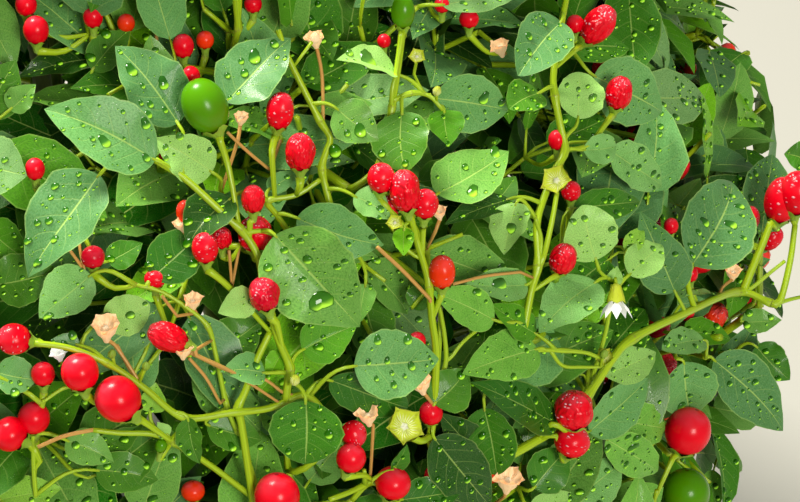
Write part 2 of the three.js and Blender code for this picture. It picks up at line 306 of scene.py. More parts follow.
def bark_finish(name, young, old, brown_below, green_above):
    """Bark that is brown and fissured low down and green above, between two heights in metres."""
    finish = Finish(name)
    place = finish.make("TexCoord", out=3)
    height = finish.make("SeparateXYZ", (), {0: place}, 2)
    grain = finish.noise(place, (420, 420, 60), 5)
    patches = finish.noise(place, 90, 3)
    age = 1 - (height + (patches - 0.5) * 0.05).eased(brown_below, green_above)
    green = finish.mix(grain.eased(0.35, 0.65), [0.72 * c for c in young], young)
    brown = finish.mix(grain.eased(0.35, 0.7), [0.45 * c for c in old], old)
    finish.set(Base_Color=finish.mix(age, green, brown), Roughness=0.5 + age * 0.35)
    finish.bump(grain * (0.3 + age), 0.0006, 0.8)
    return finish


def fissures(angles, length):
    """The relief of half woody bark, in mm."""
    long_ridges = 0.2 * np.sin(9 * angles + 1.7 * math.sin(length / 11))
    fine_ridges = 0.12 * np.sin(17 * angles - 2.3 * math.sin(length / 7) + 1)
    return long_ridges + fine_ridges + 0.08 * np.sin(length / 1.9 + 2 * np.sin(3 * angles))


bark = bark_finish("bark", (0.16, 0.2, 0.05), (0.2, 0.15, 0.085), 0.03, 0.13)
stem_heights = STEM_HEIGHT * np.linspace(0, 1, STEM_RINGS) ** RINGS_LOW_DOWN
stem_angles = angles_round(STEM_SIDES)
stem_rings = []
for height in stem_heights:
    flare = math.exp(-height / (FLARE_HEIGHT / 2))
    ridge = 1 + RIDGE_DEPTH * flare * np.cos(ROOT_RIDGES * stem_angles)
    shaft = between((STEM_FOOT_RADIUS, STEM_TIP_RADIUS), height / STEM_HEIGHT)
    radius = (shaft + (STEM_FLARE_RADIUS - STEM_FOOT_RADIUS) * flare) * ridge + fissures(stem_angles, height)
    centre = STEM_LEAN * (height / STEM_HEIGHT) ** 2 + height * UP
    level_ring = [radius * np.cos(stem_angles), radius * np.sin(stem_angles), 0 * radius]
    stem_rings.append(centre + np.stack(level_ring, 1))
stem_heap = Heap()
quads, round_it, along_it = tube_faces(STEM_RINGS, STEM_SIDES)
stem_heap.add(
    np.concatenate(stem_rings),
    (quads, np.stack([round_it, along_it / (STEM_RINGS - 1)], -1)),
    (end_faces(STEM_RINGS, STEM_SIDES), np.full((2, STEM_SIDES, 2), 0.5)),
)
piece_of("bark_of_stem", stem_heap, bark, ["stem"])


# The boughs. A leader goes up from the fork, three spreading boughs leave the stem's side, and side boughs
# leave those. They are round, green, a little swollen at each old node, and end where foliage begins.
PLANT_HEIGHT = 400
CROWN_WIDTH = 440
CROWN_DEPTH = 410
CROWN_FOOT = 52
HEART_HEIGHT = 190
CLEARANCE = 0.3
INNER_SHARE = 0.4
LEADER_RADII = (4.3, 2.5)
SPREADING_RADII = (3.9, 2.3)
SIDE_RADII = (2.5, 1.9)
LEADER_BEARING, LEADER_ELEVATION, LEADER_RISE = 75, 87, 70
SPREADING_BEARINGS = (20, 140, 260)
SPREADING_FEET = (46, 53, 60)
SPREADING_START = np.array([32.0, 0.0, 24.0])
SPREADING_END = np.array([40.0, 0.0, 12.0])
UPPER_FOOT, UPPER_FOOT_STEP = 0.42, 0.1
LOWER_FEET = {-1: 0.45, 1: 0.62}
SIDE_BEND = 0.45
UPPER_MASSES, UPPER_BEARING, UPPER_ELEVATION = 5, -52, 41
LOWER_ELEVATION, LOWER_SPREAD = -7, 40
HEART = HEART_HEIGHT * UP
BOUGH_SIDES = 18
BOUGH_RING_GAP = 1.6
BOUGH_NODE_GAP = 23
BOUGH_NODE_SWELL = 0.5
BOUGH_NODE_LENGTH = 1.7
BOUGH_RIBS = 0.3


def turned(vector, axis, degrees):
    """A vector turned about a unit axis."""
    angle = math.radians(degrees)
    along = axis * (axis @ vector) * (1 - math.cos(angle))
    return vector * math.cos(angle) + np.cross(axis, vector) * math.sin(angle) + along


def direction_of(bearing, elevation):
    level = math.cos(math.radians(elevation))
    bearing = math.radians(bearing)
    return np.array([level * math.cos(bearing), level * math.sin(bearing), math.sin(math.radians(elevation))])


def dome_scale(offsets):
    """What scales the crown to a unit ball round its heart."""
    half_height = np.where(offsets[..., 2] > 0, PLANT_HEIGHT - HEART_HEIGHT, HEART_HEIGHT - CROWN_FOOT)
    half_width = np.full_like(half_height, CROWN_WIDTH / 2, float)
    half_depth = np.full_like(half_height, CROWN_DEPTH / 2, float)
    return np.stack([half_width, half_depth, half_height], -1)


def crown_point(direction, share):
    return direction * dome_scale(direction) * share + HEART


def bezier(stops, shares):
    """Points at shares of the way along a curve with two to four stops."""
    degree = len(stops) - 1
    shares = np.atleast_1d(shares)[:, None]
    weights = [math.comb(degree, k) * (1 - shares) ** (degree - k) * shares**k for k in range(degree + 1)]
    return np.sum([weight * stop for weight, stop in zip(weights, stops)], axis=0)


boughs = {}
fork = STEM_HEIGHT * UP + STEM_LEAN
leader_direction = direction_of(LEADER_BEARING, LEADER_ELEVATION)
leader_stops = [fork + CLEARANCE * UP, fork + LEADER_RISE * UP, crown_point(leader_direction, INNER_SHARE)]
boughs["leader_bough"] = (leader_stops, LEADER_RADII)
masses = [{"name": "foliage_top", "direction": leader_direction, "carrier": leader_stops}]


def add_side_bough(name, parent, share, direction):
    foot = bezier(parent, share)[0]
    tip = crown_point(direction, INNER_SHARE)
    bend = tip - unit(tip - HEART) * SIDE_BEND * np.linalg.norm(tip - foot)
    boughs[name] = ([foot, bend, tip], SIDE_RADII)
    return boughs[name][0]


for i in range(UPPER_MASSES):
    direction = direction_of(UPPER_BEARING + 360 / UPPER_MASSES * i, UPPER_ELEVATION)
    stops = add_side_bough(f"upper_bough_{i + 1}", leader_stops, UPPER_FOOT + UPPER_FOOT_STEP * i, direction)
    masses.append({"name": f"foliage_upper_{i + 1}", "direction": direction, "carrier": stops})
for i, (bearing, height) in enumerate(zip(SPREADING_BEARINGS, SPREADING_FEET)):
    foot = STEM_LEAN * (height / STEM_HEIGHT) ** 2 + height * UP
    tip = crown_point(direction_of(bearing, LOWER_ELEVATION), INNER_SHARE)
    leaving, arriving = turned(SPREADING_START, UP, bearing), turned(SPREADING_END, UP, bearing)
    spreading = [foot, foot + leaving, tip - arriving, tip]
    boughs[f"spreading_bough_{i + 1}"] = (spreading, SPREADING_RADII)
    for side in (-1, 0, 1):
        number = 3 * i + side + 2
        direction = direction_of(bearing + side * LOWER_SPREAD, LOWER_ELEVATION)
        stops = spreading
        if side:
            stops = add_side_bough(f"lower_bough_{number}", spreading, LOWER_FEET[side], direction)
        masses.append({"name": f"foliage_lower_{number}", "direction": direction, "carrier": stops})


def old_nodes(angles, length):
    """The relief of a green bough: fine ribs, and a swelling at each old node, in mm."""
    off = (length + BOUGH_NODE_GAP / 2) % BOUGH_NODE_GAP - BOUGH_NODE_GAP / 2
    swelling = BOUGH_NODE_SWELL * math.exp(-((off / BOUGH_NODE_LENGTH) ** 2))
    return BOUGH_RIBS * fissures(angles, length) + swelling


green_bark = bark_finish("green_bark", (0.2, 0.27, 0.045), (0.2, 0.16, 0.08), 0.06, 0.15)
bough_heap = Heap()
for stops, radii in boughs.values():
    path = bezier(stops, np.linspace(0, 1, 200))
    rings = int(np.linalg.norm(np.diff(path, axis=0), axis=1).sum() / BOUGH_RING_GAP)
    shares = np.linspace(0, 1, rings)
    bough_heap.add_tube(bezier(stops, shares), between(radii, shares), BOUGH_SIDES, relief=old_nodes)
piece_of("bark_of_boughs", bough_heap, green_bark, list(boughs))


# The view. The plant is seen close up, from 38 degrees above level, at the right front of its crown. A place
# in the picture is a pixel of the 800 by 502 frame, and how much nearer than the crown's front it lies in mm.
PICTURE_WIDTH, PICTURE_HEIGHT = 800, 502
VIEW_DOWN = math.radians(38)
VIEW_WIDTH = 182
VIEW_DISTANCE = 520
VIEW_RIGHT, VIEW_UP, VIEW_NEAR = 104, 150, 285
PIXEL = VIEW_WIDTH / PICTURE_WIDTH
FRONT_SHARE = 0.95
DEEPEST_FRONT = 622
SENSOR = 36

rightward = np.array([1.0, 0.0, 0.0])
upward = np.array([0.0, math.sin(VIEW_DOWN), math.cos(VIEW_DOWN)])
nearer = np.array([0.0, -math.cos(VIEW_DOWN), math.sin(VIEW_DOWN)])
view_centre = VIEW_RIGHT * rightward + VIEW_UP * upward + VIEW_NEAR * nearer
view_point = view_centre + VIEW_DISTANCE * nearer


def depth_of_front(rays):
    """How far along rays from the viewpoint the front of the crown is, or comes nearest."""
    scale = dome_scale(UP)
    start = (view_point - HEART) / scale
    rays = rays / scale
    square = (rays * rays).sum(-1)
    middle = rays @ start
    within = middle**2 - square * (start @ start - FRONT_SHARE**2)
    return np.minimum((-middle - np.sqrt(np.clip(within, 0, None))) / square, DEEPEST_FRONT)


def at_pixel(x, y, near=0.0):
    """The point in mm that shows at a pixel, near mm nearer than the front of the crown there."""
    aside = (x - PICTURE_WIDTH / 2) * rightward + (PICTURE_HEIGHT / 2 - y) * upward
    ray = aside * PIXEL / VIEW_DISTANCE - nearer
    return view_point + (depth_of_front(ray) - near) * ray


def in_picture(points):
    """Pixels across and down of points in mm, and how much nearer than the front of the crown they are."""
    offsets = np.atleast_2d(points) - view_point
    depths = -offsets @ nearer
    rays = offsets / depths[:, None]
    x = PICTURE_WIDTH / 2 + rays @ rightward * VIEW_DISTANCE / PIXEL
    y = PICTURE_HEIGHT / 2 - rays @ upward * VIEW_DISTANCE / PIXEL
    return x, y, depth_of_front(rays) - depths


def pixel_size(point):
    """How many mm a pixel is wide at a point."""
    return PIXEL * ((view_point - point) @ nearer) / VIEW_DISTANCE


camera = bpy.data.objects.new("camera", bpy.data.cameras.new("camera"))
camera.data.sensor_width = SENSOR
camera.data.lens = SENSOR * VIEW_DISTANCE / VIEW_WIDTH
camera.data.clip_start = 0.01
camera_turn = Matrix([rightward, upward, nearer]).transposed().to_4x4()
camera.matrix_world = Matrix.Translation(Vector(view_point * MM)) @ camera_turn
bpy.context.scene.collection.objects.link(camera)
bpy.context.scene.camera = camera


# The shoots. From each bough's tip a mass of foliage grows out in zigzag shoots that fork at their nodes,
# each within its own cone of the crown. They are pale green, swollen at the node, with small brown scars.
LEAST_REACH = 0.94
WALL = 0.6
STEP_RANGE = (0.85, 1.15)
INTERNODE = (27, 25, 15, 10)
INTERNODES = (5, 3, 3, 2)
ROOM = (2, 1.6, 1, 0.8)
TWIG_RADIUS = (1.7, 1.3, 0.95, 0.7)
TWIG_TAPER = 0.9
ZIGZAG = 19
ZIGZAG_JITTER = 50
FORK_ANGLE = 54
OUTWARD_PULL = (0.35, 0.12, 0.15, 0.15)
LIFT = 0.12
FORKS = ((1, 1, 2, 2), (2, 2, 2), (3,), ())
SEAM_OVERLAP = 10
LIMB_ROOM = 1.5
LIMB_MARKS = 24
TWIG_TESTS = 6
GOLDEN_TURN = 137.5
CLEAR_IN_FRONT = 9
VIEW_EDGE = 25

limb_shares = np.linspace(0, 1, LIMB_MARKS + 1)
limb_marks = [np.outer(limb_shares, fork)]
limb_radii = [between((STEM_FOOT_RADIUS, STEM_TIP_RADIUS), limb_shares)]
for stops, radii in boughs.values():
    limb_marks.append(bezier(stops, limb_shares))
    limb_radii.append(between(radii, limb_shares))
limb_marks, limb_radii = np.concatenate(limb_marks), np.concatenate(limb_radii)
mass_directions = np.array([mass["direction"] for mass in masses])
for i, mass in enumerate(masses):
    mass["seed"] = i + 1
    mass["reach"] = between((LEAST_REACH, 1), numbers_from(seed_of(i + 1, 0))()) if i else 1
    mass["others"] = np.delete(mass_directions, i, 0)


def share_of_reach(points):
    offsets = points - HEART
    return np.linalg.norm(offsets / dome_scale(offsets), axis=-1)


def in_space(mass, points, margin):
    """Whether points lie in a mass's own cone, as far from its walls as asked."""
    points = np.atleast_2d(points)
    offsets = points - HEART
    walls = unit((mass["direction"] - mass["others"])[None] / dome_scale(offsets)[:, None])
    inside = (np.einsum("nk,nmk->nm", offsets, walls) > margin).all(1)
    return inside & (points[:, 2] > CROWN_FOOT + margin) & (share_of_reach(points) <= mass["reach"])


def clear_of_limbs(points, radius):
    gaps = np.linalg.norm(points[:, None] - limb_marks[None], axis=2)
    return (gaps >= limb_radii + radius + LIMB_ROOM).all(1)


def hides_view(points, behind=CLEAR_IN_FRONT):
    """Whether points lie in the picture less far behind what it shows than asked."""
    x, y, near = in_picture(points)
    across = (x > -VIEW_EDGE) & (x < PICTURE_WIDTH + VIEW_EDGE)
    down = (y > -VIEW_EDGE) & (y < PICTURE_HEIGHT + VIEW_EDGE)
    return across & down & (near > -behind)


def leaning(along, angle, bearing):
    """The direction that leans from another by an angle, towards a bearing round it."""
    level = UP if abs(along[2]) < NEARLY_UPRIGHT else EAST
    aside = turned(unit(np.cross(level, along)), along, bearing)
    return turned(along, aside, angle)


shoots = []


def grow(mass, start, along, level, seed):
    """A shoot that grows in a zigzag from node to node, and then what forks off it."""
    draw = numbers_from(seed)
    spin = 360 * draw()
    nodes = [start]
    forks = []
    headings = []
    for i in range(INTERNODES[level]):
        step = INTERNODE[level] * between(STEP_RANGE, draw())
        own = i or level
        if own:
            outward = unit(nodes[-1] - HEART)
            lean = leaning(along, ZIGZAG, spin + 180 * i + ZIGZAG_JITTER * draw())
            along = unit(lean + OUTWARD_PULL[level] * outward + LIFT * UP)
        to = nodes[-1] + step * along
        margin = WALL + ROOM[level] if level < 2 else -SEAM_OVERLAP
        if not in_space(mass, to, margin)[0] or hides_view(to)[0]:
            break
        tests = nodes[-1] + np.outer(np.arange(1, TWIG_TESTS + 1) / TWIG_TESTS, to - nodes[-1])
        if own and not clear_of_limbs(tests, ROOM[level]).all():
            break
        nodes.append(to)
        headings.append(along)
        for k, fork_level in enumerate(FORKS[level]):
            turn = spin + GOLDEN_TURN * i + 180 * k + 90 * (k // 2)
            forks.append((to, leaning(along, FORK_ANGLE, turn), fork_level, seed_of(seed, 10 * i + k)))
    if headings:
        shoots.append({"mass": mass, "nodes": nodes, "headings": headings, "level": level, "seed": seed})
    for fork_start, fork_along, fork_level, fork_seed in forks:
        grow(mass, fork_start, fork_along, fork_level, fork_seed)


for mass in masses:
    tip = mass["carrier"][-1]
    heading = unit(tip - mass["carrier"][-2])
    grow(mass, tip + CLEARANCE * heading, heading, 0, mass["seed"])


# Late shoots close the gaps left between the masses. A row gives the bearing and elevation of one from the
# crown's heart. It starts at the nearest node farther in and bears twigs all the way.
GAPS = (
    (-30, 66), (-42, 63), (-44, 67), (-57, 67), (-62, 63), (-70, 67), (-78, 63), (-88, 62), (-19, 25),
    (65, 39), (120, 34), (-41, 20), (-34, 16), (-27, 20), (-155, 28), (145, -17), (141, -26), (37, -29),
    (-111, -28),
)
LATE_STEP = 14
LATE_SHARE = 0.88
LATE_START_SHARE = 0.78
LATE_BEND = 2.5
LATE_SEED = 997
LATE_TWIGS = 3
LATE_LEVEL = 2
for number, (bearing, elevation) in enumerate(GAPS):
    direction = direction_of(bearing, elevation)
    target = crown_point(direction, LATE_SHARE)
    nodes = [node for shoot in shoots for node in shoot["nodes"][1:]]
    farther_in = [node for node in nodes if share_of_reach(node) < LATE_START_SHARE]
    start = min(farther_in, key=lambda node: np.linalg.norm(node - target))
    count = max(2, round(np.linalg.norm(target - start) / LATE_STEP))
    heading = unit(target - start)
    bend = LATE_BEND * unit(np.cross(heading, UP))
    nodes = [start + (target - start) * i / count + bend * (0, 1, 0, -1)[i % 4] for i in range(count + 1)]
    mass = min(masses, key=lambda mass: np.linalg.norm(mass["direction"] - direction))
    seed = seed_of(LATE_SEED, number)
    headings = [heading] * count
    shoots.append({"mass": mass, "nodes": nodes, "headings": headings, "level": LATE_LEVEL, "seed": seed})
    for i, node in enumerate(nodes[1:]):
        for k in range(LATE_TWIGS):
            turn = GOLDEN_TURN * i + 360 / LATE_TWIGS * k
            grow(mass, node, leaning(heading, FORK_ANGLE, turn), LATE_LEVEL + 1, seed_of(seed, 10 * i + k))

RING_PLACES = ((0, 0.07, 0.5, 0.93), (0, 0.07, 0.5, 0.93), (0, 0.12, 0.88), (0, 0.5))
RING_SWELL = {0: 1.3, 0.07: 1.04, 0.12: 1.02, 0.5: 0.94, 0.88: 1.02, 0.93: 1.04}
SHOOT_SIDES = (8, 7, 5, 4)
OLD_GREEN, PALE_GREEN, YELLOW_GREEN, DRY = range(4)


def add_shoot(heap, nodes, level):
    """A tube from node to node, straight between them and swollen at each."""
    path, radii, marks = [], [], []
    rings = RING_PLACES[level]
    for i, (start, end) in enumerate(zip(nodes, nodes[1:])):
        for place, after in zip(rings, (*rings[1:], 1)):
            path.append(start + (end - start) * place)
            radii.append(TWIG_RADIUS[level] * TWIG_TAPER ** (i + place) * RING_SWELL[place])
            marks.append((place, after))
    path.append(nodes[-1])
    radii.append(TWIG_RADIUS[level] * TWIG_TAPER ** (len(nodes) - 1))
    tone = PALE_GREEN if level else OLD_GREEN
    heap.add_tube(path, radii, SHOOT_SIDES[level], (tone, 0), np.array(marks))


shoot_heap = Heap()
for shoot in shoots:
    add_shoot(shoot_heap, shoot["nodes"], shoot["level"])

# The finish's columns are the four tones. Along a cell it runs from one node to the next.
shoot_finish = Finish("green_shoot", Specular_IOR_Level=0.38)
place, across_all, along_all = shoot_finish.cells()
along = along_all % 1
shades = [(0.2, 0.3, 0.02), (0.44, 0.63, 0.012), (0.45, 0.66, 0.022), (0.74, 0.36, 0.1)]
shade = shoot_finish.one_of(math.floor(across_all), shades)
streaks = shoot_finish.noise(place, (70, 5, 1), 3)
node_ring = 1 - (1 - abs(along - 0.5) * 2).eased(0.02, 0.2)
shaded = shoot_finish.mix(streaks.eased(0.35, 0.7) * 0.42, shade, (0.13, 0.25, 0.02))
scarred = shoot_finish.mix(node_ring * streaks.eased(0.42, 0.62) * 0.75, shaded, (0.3, 0.2, 0.09))
shoot_finish.set(Base_Color=scarred, Roughness=0.3 + node_ring * 0.3)
shoot_finish.bump(streaks + node_ring * 0.6, 0.0003, 0.5)


# The shoots that the picture shows. A row gives the depth in mm of the near end and of the foot, the width in
# pixels and the course. The foot of each is joined to a node of the growth behind it or to a shoot before it.
FRONT_NODES = (
    (241, 230), (289, 372), (183, 417), (172, 442), (238, 408), (226, 403), (208, 327), (429, 286),
    (632, 339), (737, 292), (771, 303), (555, 96), (556, 170), (538, 265), (322, 170), (268, 201),
    (392, 107), (411, 94), (370, 482), (563, 351), (613, 285), (320, 121), (587, 396), (263, 277),
    (107, 363), (566, 151),
)
FRONT_SHOOTS = (
    (1, -5, 7, (34, 343), (69, 348), (107, 363), (143, 387), (183, 417), (230, 413), (270, 408),
     (305, 395), (330, 420)),
    (-4, -5, 8, (270, 332), (256, 362), (245, 392), (238, 408), (241, 422), (247, 460), (253, 502),
     (256, 540)), (-2, -5, 6, (93, 430), (120, 433), (152, 434), (172, 442), (186, 450)),
    (-6, -8, 5, (136, 285), (162, 292), (190, 310), (208, 327), (216, 356), (226, 403), (236, 430)),
    (-7, -9, 5, (33, 418), (34, 475), (40, 530)), (-5, -8, 4, (41, 403), (69, 387), (96, 400)),
    (-1, -6, 8, (411, 220), (418, 245), (425, 268), (429, 286), (432, 320), (436, 352), (434, 406),
     (430, 440)), (-5, -7, 5, (439, 304), (444, 332), (446, 361), (440, 380)),
    (1, -7, 10, (771, 303), (737, 292), (685, 313), (632, 339), (613, 358), (587, 396), (560, 425),
     (530, 444), (505, 458)),
    (-1, -6, 8, (575, -34), (566, 0), (554, 69), (555, 96), (560, 124), (565, 150), (556, 170),
     (545, 195), (537, 224), (538, 265), (531, 292), (524, 330)),
    (-2, -8, 7, (278, 30), (287, 55), (304, 90), (320, 121), (330, 138), (326, 152), (322, 170),
     (330, 205)), (-2, -8, 7, (403, 33), (398, 70), (392, 107), (388, 130), (380, 160)),
    (-3, -8, 6, (320, 180), (296, 195), (268, 201), (276, 214), (285, 227), (300, 250)),
    (0, -5, 5, (600, 358), (587, 353), (571, 351), (550, 350), (530, 351), (505, 356)),
    (0, -8, 5, (613, 285), (606, 330), (592, 380)),
    (-2, -8, 6, (399, 500), (384, 489), (370, 482), (352, 500)),
    (-1, -5, 6, (657, 490), (652, 510), (648, 540)),
)
SIDE_SHOOTS = (
    (-1, -3, 8, (155, 160), (172, 170), (189, 182), (234, 224), (241, 230), (255, 251), (263, 277),
     (275, 332), (287, 363), (289, 372), (286, 392), (285, 404)),
    (0, -2, 5, (275, 235), (262, 231), (243, 233)), (-3, -4, 7, (172, 442), (180, 428), (183, 417)),
    (-5, -6, 4, (482, 326), (463, 342), (452, 356), (446, 361)),
    (1, 0, 10, (771, 222), (762, 244), (742, 286)),
    (0, 1, 8, (795, 225), (790, 262), (780, 301), (771, 303)),
    (0, 1, 5, (785, 261), (768, 274), (752, 286), (740, 291)),
    (-3, -4, 5, (806, 296), (790, 299), (771, 303)),
    (1, -2, 6, (557, 192), (552, 222), (544, 258), (539, 266)),
    (-3, -4, 5, (535, 217), (541, 240), (538, 265)), (-2, -3, 5, (396, 74), (392, 90), (392, 107)),
    (-2, -3, 5, (443, 110), (429, 96), (411, 94), (392, 103)),
    (0, -1, 4, (600, 367), (582, 367), (563, 365), (552, 349)),
    (-1, -3, 4, (629, 275), (620, 282), (613, 285)), (-1, -3, 4, (596, 262), (600, 274), (613, 285)),
    (-2, -3, 6, (329, 500), (350, 492), (370, 482)), (-1, -3, 5, (364, 470), (366, 476), (370, 482)),
    (0, -2, 4, (394, 470), (383, 473), (370, 482)), (-1, -6, 7, (692, 265), (686, 282), (684, 312)),
)
NODE_REACH = 7
RING_EVERY = 5
JOIN_REACH = 0.4
FOOT_SIDES = 6
JOIN_RINGS = 8
COURSE_SIDES = 10
NODE_SWELL = 0.35
COURSE_TAPER = (0.86, 0.2)
NODE_PIXELS = 24
WIDE_SHOOT = 5


def smooth(points, step):
    """A curve through points, in steps of about the size asked for."""
    points = np.asarray(points, float)
    ends = np.vstack([2 * points[0] - points[1], points, 2 * points[-1] - points[-2]])
    curve = []
    for before, start, end, after in zip(ends, ends[1:], ends[2:], ends[3:]):
        count = max(1, round(np.linalg.norm(end - start) / step))
        t = (np.arange(count) / count)[:, None]
        curve.append(
            0.5 * (2 * start + (end - before) * t + (2 * before - 5 * start + 4 * end - after) * t**2
                   + (3 * start - before - 3 * end + after) * t**3)
        )
    return np.vstack([*curve, points[-1:]])


def nearest(perches, point):
    """The perch nearest to a point, those in front of it counting as farther off."""
    offsets = perches - point
    return perches[np.argmin(np.linalg.norm(offsets, axis=1) + 2 * np.clip(offsets @ nearer, 0, None))]


grown_perches = np.concatenate([shoot["nodes"][1:] for shoot in shoots])
strong_perches = np.concatenate([shoot["nodes"][1:] for shoot in shoots if shoot["level"] < 3])

front_perches = np.zeros((0, 3))
nodes_seen = np.array(FRONT_NODES, float)
for number, (near_tip, near_foot, width, *stops) in enumerate(FRONT_SHOOTS + SIDE_SHOOTS):
    course = smooth(stops, RING_EVERY)
    nears = np.linspace(near_tip, near_foot, len(course))
    path = np.array([at_pixel(x, y, near) for (x, y), near in zip(course, nears)])
    off = np.linalg.norm(course[:, None] - nodes_seen[None], axis=2).min(1)
    shares = np.linspace(0, 1, len(course))
    slimmer = COURSE_TAPER[0] + COURSE_TAPER[1] * shares
    radii = width / 2 * PIXEL * slimmer * (1 + NODE_SWELL * np.exp(-((off / NODE_REACH) ** 2)))
    marks = np.clip(off / NODE_PIXELS, 0, 0.5)
    tone = (PALE_GREEN if width > WIDE_SHOOT else YELLOW_GREEN, 0)
    if number < len(FRONT_SHOOTS):
        foot = nearest(strong_perches, path[-1])
        reach = JOIN_REACH * np.linalg.norm(path[-1] - foot)
        onward = path[-1] + reach * unit(path[-1] - path[-4] - 2 * nearer)
        join = [path[-1], onward, foot + reach * unit(foot - HEART), foot]
        join = bezier(join, np.linspace(0, 1, JOIN_RINGS))
        shoot_heap.add_tube(join, np.full(JOIN_RINGS, radii[-1]), FOOT_SIDES, tone)
    else:
        path = path + np.outer(shares**2, nearest(front_perches, path[-1]) - path[-1])
    shoot_heap.add_tube(path, radii, COURSE_SIDES, tone, np.stack([marks[:-1], marks[1:]], 1))
    front_perches = np.concatenate([front_perches, path[:-1]])
all_perches = np.concatenate([front_perches, grown_perches])

# The fruit. Small round to oval berries stand up among the leaves, scarlet and glossy when ripe and green
# before. Some have begun to wrinkle. Each is held in a small green cup on a stalk that widens towards it.
RED, ORANGE, DARK_RED, GREEN = range(4)
CUP, STAR, PETAL, DRIED = range(4)
# A row gives a berry's pixel, its length and width in pixels, its tilt in degrees, its depth in mm, how
# wrinkled it is, its kind, and the pixels its stalk passes.
FRONT_FRUIT = (
    (280, 111, 38, 28, 10, 1, 0.3, RED, (272, 150), (270, 170)),
    (300, 152, 38, 30, 0, 2, 1, RED, (300, 186), (299, 199)),
    (598, 25, 44, 30, 40, 1, 1, RED, (575, 50), (559, 84)),
    (619, 93, 34, 27, 15, 1, 0.6, RED, (607, 122), (588, 145), (566, 151)),
    (253, 199, 28, 24, 0, 1, 0.5, RED, (250, 222), (246, 236)),
    (255, 234, 36, 34, 0, -5, 1, RED, (262, 258), (266, 285)),
    (205, 248, 31, 27, -4, 0, 0.2, RED, (211, 272), (232, 290), (262, 330)),
    (222, 238, 22, 20, 0, -5, 0.6, RED), (264, 294, 35, 31, -14, 2, 1, DARK_RED, (276, 322), (284, 350)),
    (168, 337, 42, 29, -66, 2, 1, RED, (196, 355), (232, 372), (280, 398)),
    (381, 178, 30, 28, 6, 0, 0.2, RED, (384, 204), (405, 236)),
    (405, 191, 43, 31, -8, 3, 1, RED, (411, 218), (420, 240)),
    (425, 204, 30, 27, 4, 2, 0.3, RED, (423, 226), (425, 246)), (391, 206, 22, 20, 0, -3, 0.2, RED),
    (442, 272, 34, 27, 0, 0, 0.2, ORANGE, (441, 296), (436, 320)),
    (563, 259, 32, 27, 20, -3, 0.5, RED, (555, 276), (540, 292)),
    (782, 200, 46, 36, 10, 0, 0.3, RED, (772, 222)), (797, 193, 44, 36, 4, 3, 0.2, RED, (796, 226)),
    (14, 339, 33, 32, -80, 1, 0.2, RED, (34, 343)),
    (80, 372, 37, 38, -10, 2, 0.1, RED, (88, 396), (104, 404), (126, 376)),
    (118, 399, 46, 46, -40, 3, 0, RED, (138, 418), (156, 430), (172, 442)),
    (43, 374, 24, 24, 0, -6, 0, RED), (34, 418, 32, 32, 0, -8, 0, RED), (10, 434, 32, 36, -60, -7, 0, RED),
    (277, 496, 46, 46, 0, 1, 0, RED), (354, 434, 24, 28, 80, -3, 0.4, RED),
    (351, 458, 29, 30, 20, 1, 0.1, RED, (364, 475), (370, 482)), (393, 483, 32, 36, 20, -1, 0.1, RED),
    (431, 413, 24, 24, 0, -6, 0, RED), (436, 476, 24, 24, 0, -9, 0, RED), (417, 341, 18, 18, 0, -7, 0, RED),
    (574, 410, 39, 39, 0, 3, 0.8, RED, (552, 424), (537, 406)),
    (572, 441, 32, 36, 20, 2, 0.4, RED, (556, 436), (537, 408)),
    (688, 431, 47, 46, 20, 1, 0.1, RED, (673, 458), (657, 490)), (93, 257, 22, 24, 0, -6, 0.2, DARK_RED),
    (155, 279, 18, 22, 0, -8, 0.2, RED), (557, 140, 20, 18, 0, -6, 0, RED),
    (575, 24, 18, 18, 0, -6, 0, RED), (571, 191, 20, 20, 0, -5, 0.3, RED),
    (750, 218, 24, 20, 0, -7, 0.2, RED), (671, 226, 16, 15, 0, -8, 0, RED),
    (691, 274, 16, 14, 0, -7, 0, RED), (191, 75, 18, 18, -40, -5, 0, RED), (384, 41, 14, 14, 0, -8, 0, RED),
    (469, 19, 18, 20, 0, -8, 0, RED), (442, 5, 16, 16, 0, -7, 0, RED), (35, 169, 22, 20, 0, -4, 0, RED),
    (185, 212, 24, 18, 0, -7, 0.3, ORANGE), (26, 5, 22, 22, 0, -16, 0, RED),
    (36, 30, 28, 26, 0, -14, 0, RED), (93, 17, 22, 20, 0, -14, 0, RED), (183, 46, 24, 22, 0, -12, 0, RED),
    (253, 4, 18, 18, 0, -10, 0, RED), (126, 23, 18, 18, 0, -16, 0, ORANGE),
    (205, 40, 18, 18, 0, -14, 0, ORANGE), (193, 491, 20, 24, 0, -14, 0, ORANGE),
    (205, 106, 56, 46, -24, 3, 0, GREEN, (219, 138), (229, 170), (237, 222)),
    (403, 12, 34, 24, 0, 1, 0, GREEN, (402, 33), (396, 102)),
    (161, 446, 14, 12, 10, -3, 0, GREEN, (166, 454)), (686, 492, 46, 48, 0, -3, 0, GREEN),
)
LEAST_SPACING = 7.6
BERRY_LENGTH = (6.5, 9.5)
BERRY_WIDTH = (0.74, 0.98)
BERRY_CHANCE = (0.7, 0.7, 0.5, 0.22)
BERRY_SHARE = 0.76
BERRY_STALK = (10, 18)
GREEN_CHANCE = 0.12
LEAN_TO_VIEW = 0.35
FRUIT_SPACING = 7.5
CALYX_GAP = 1.6
FRONT_RINGS, FRONT_SIDES = 18, 24
GROWN_RINGS, GROWN_SIDES = 7, 8
BERRY_BEHIND = 26
BERRY_OUTWARD, BERRY_TILT = 0.6, 0.7
BERRY_TOP, BERRY_FOOT = 0.12, 0.06
FRONT_CALYX_SIDES, GROWN_CALYX_SIDES = 20, 5
BERRY_SEED, GROWN_BERRY_CHILD = 77, 190
BEADED_ABOVE, WRINKLED_ABOVE = 0.1, 0.4
DRY_FRUIT = (168, 337)
THIN_STALK, THICK_STALK, STALK_PER_PIXEL = 0.5, 0.85, 0.012
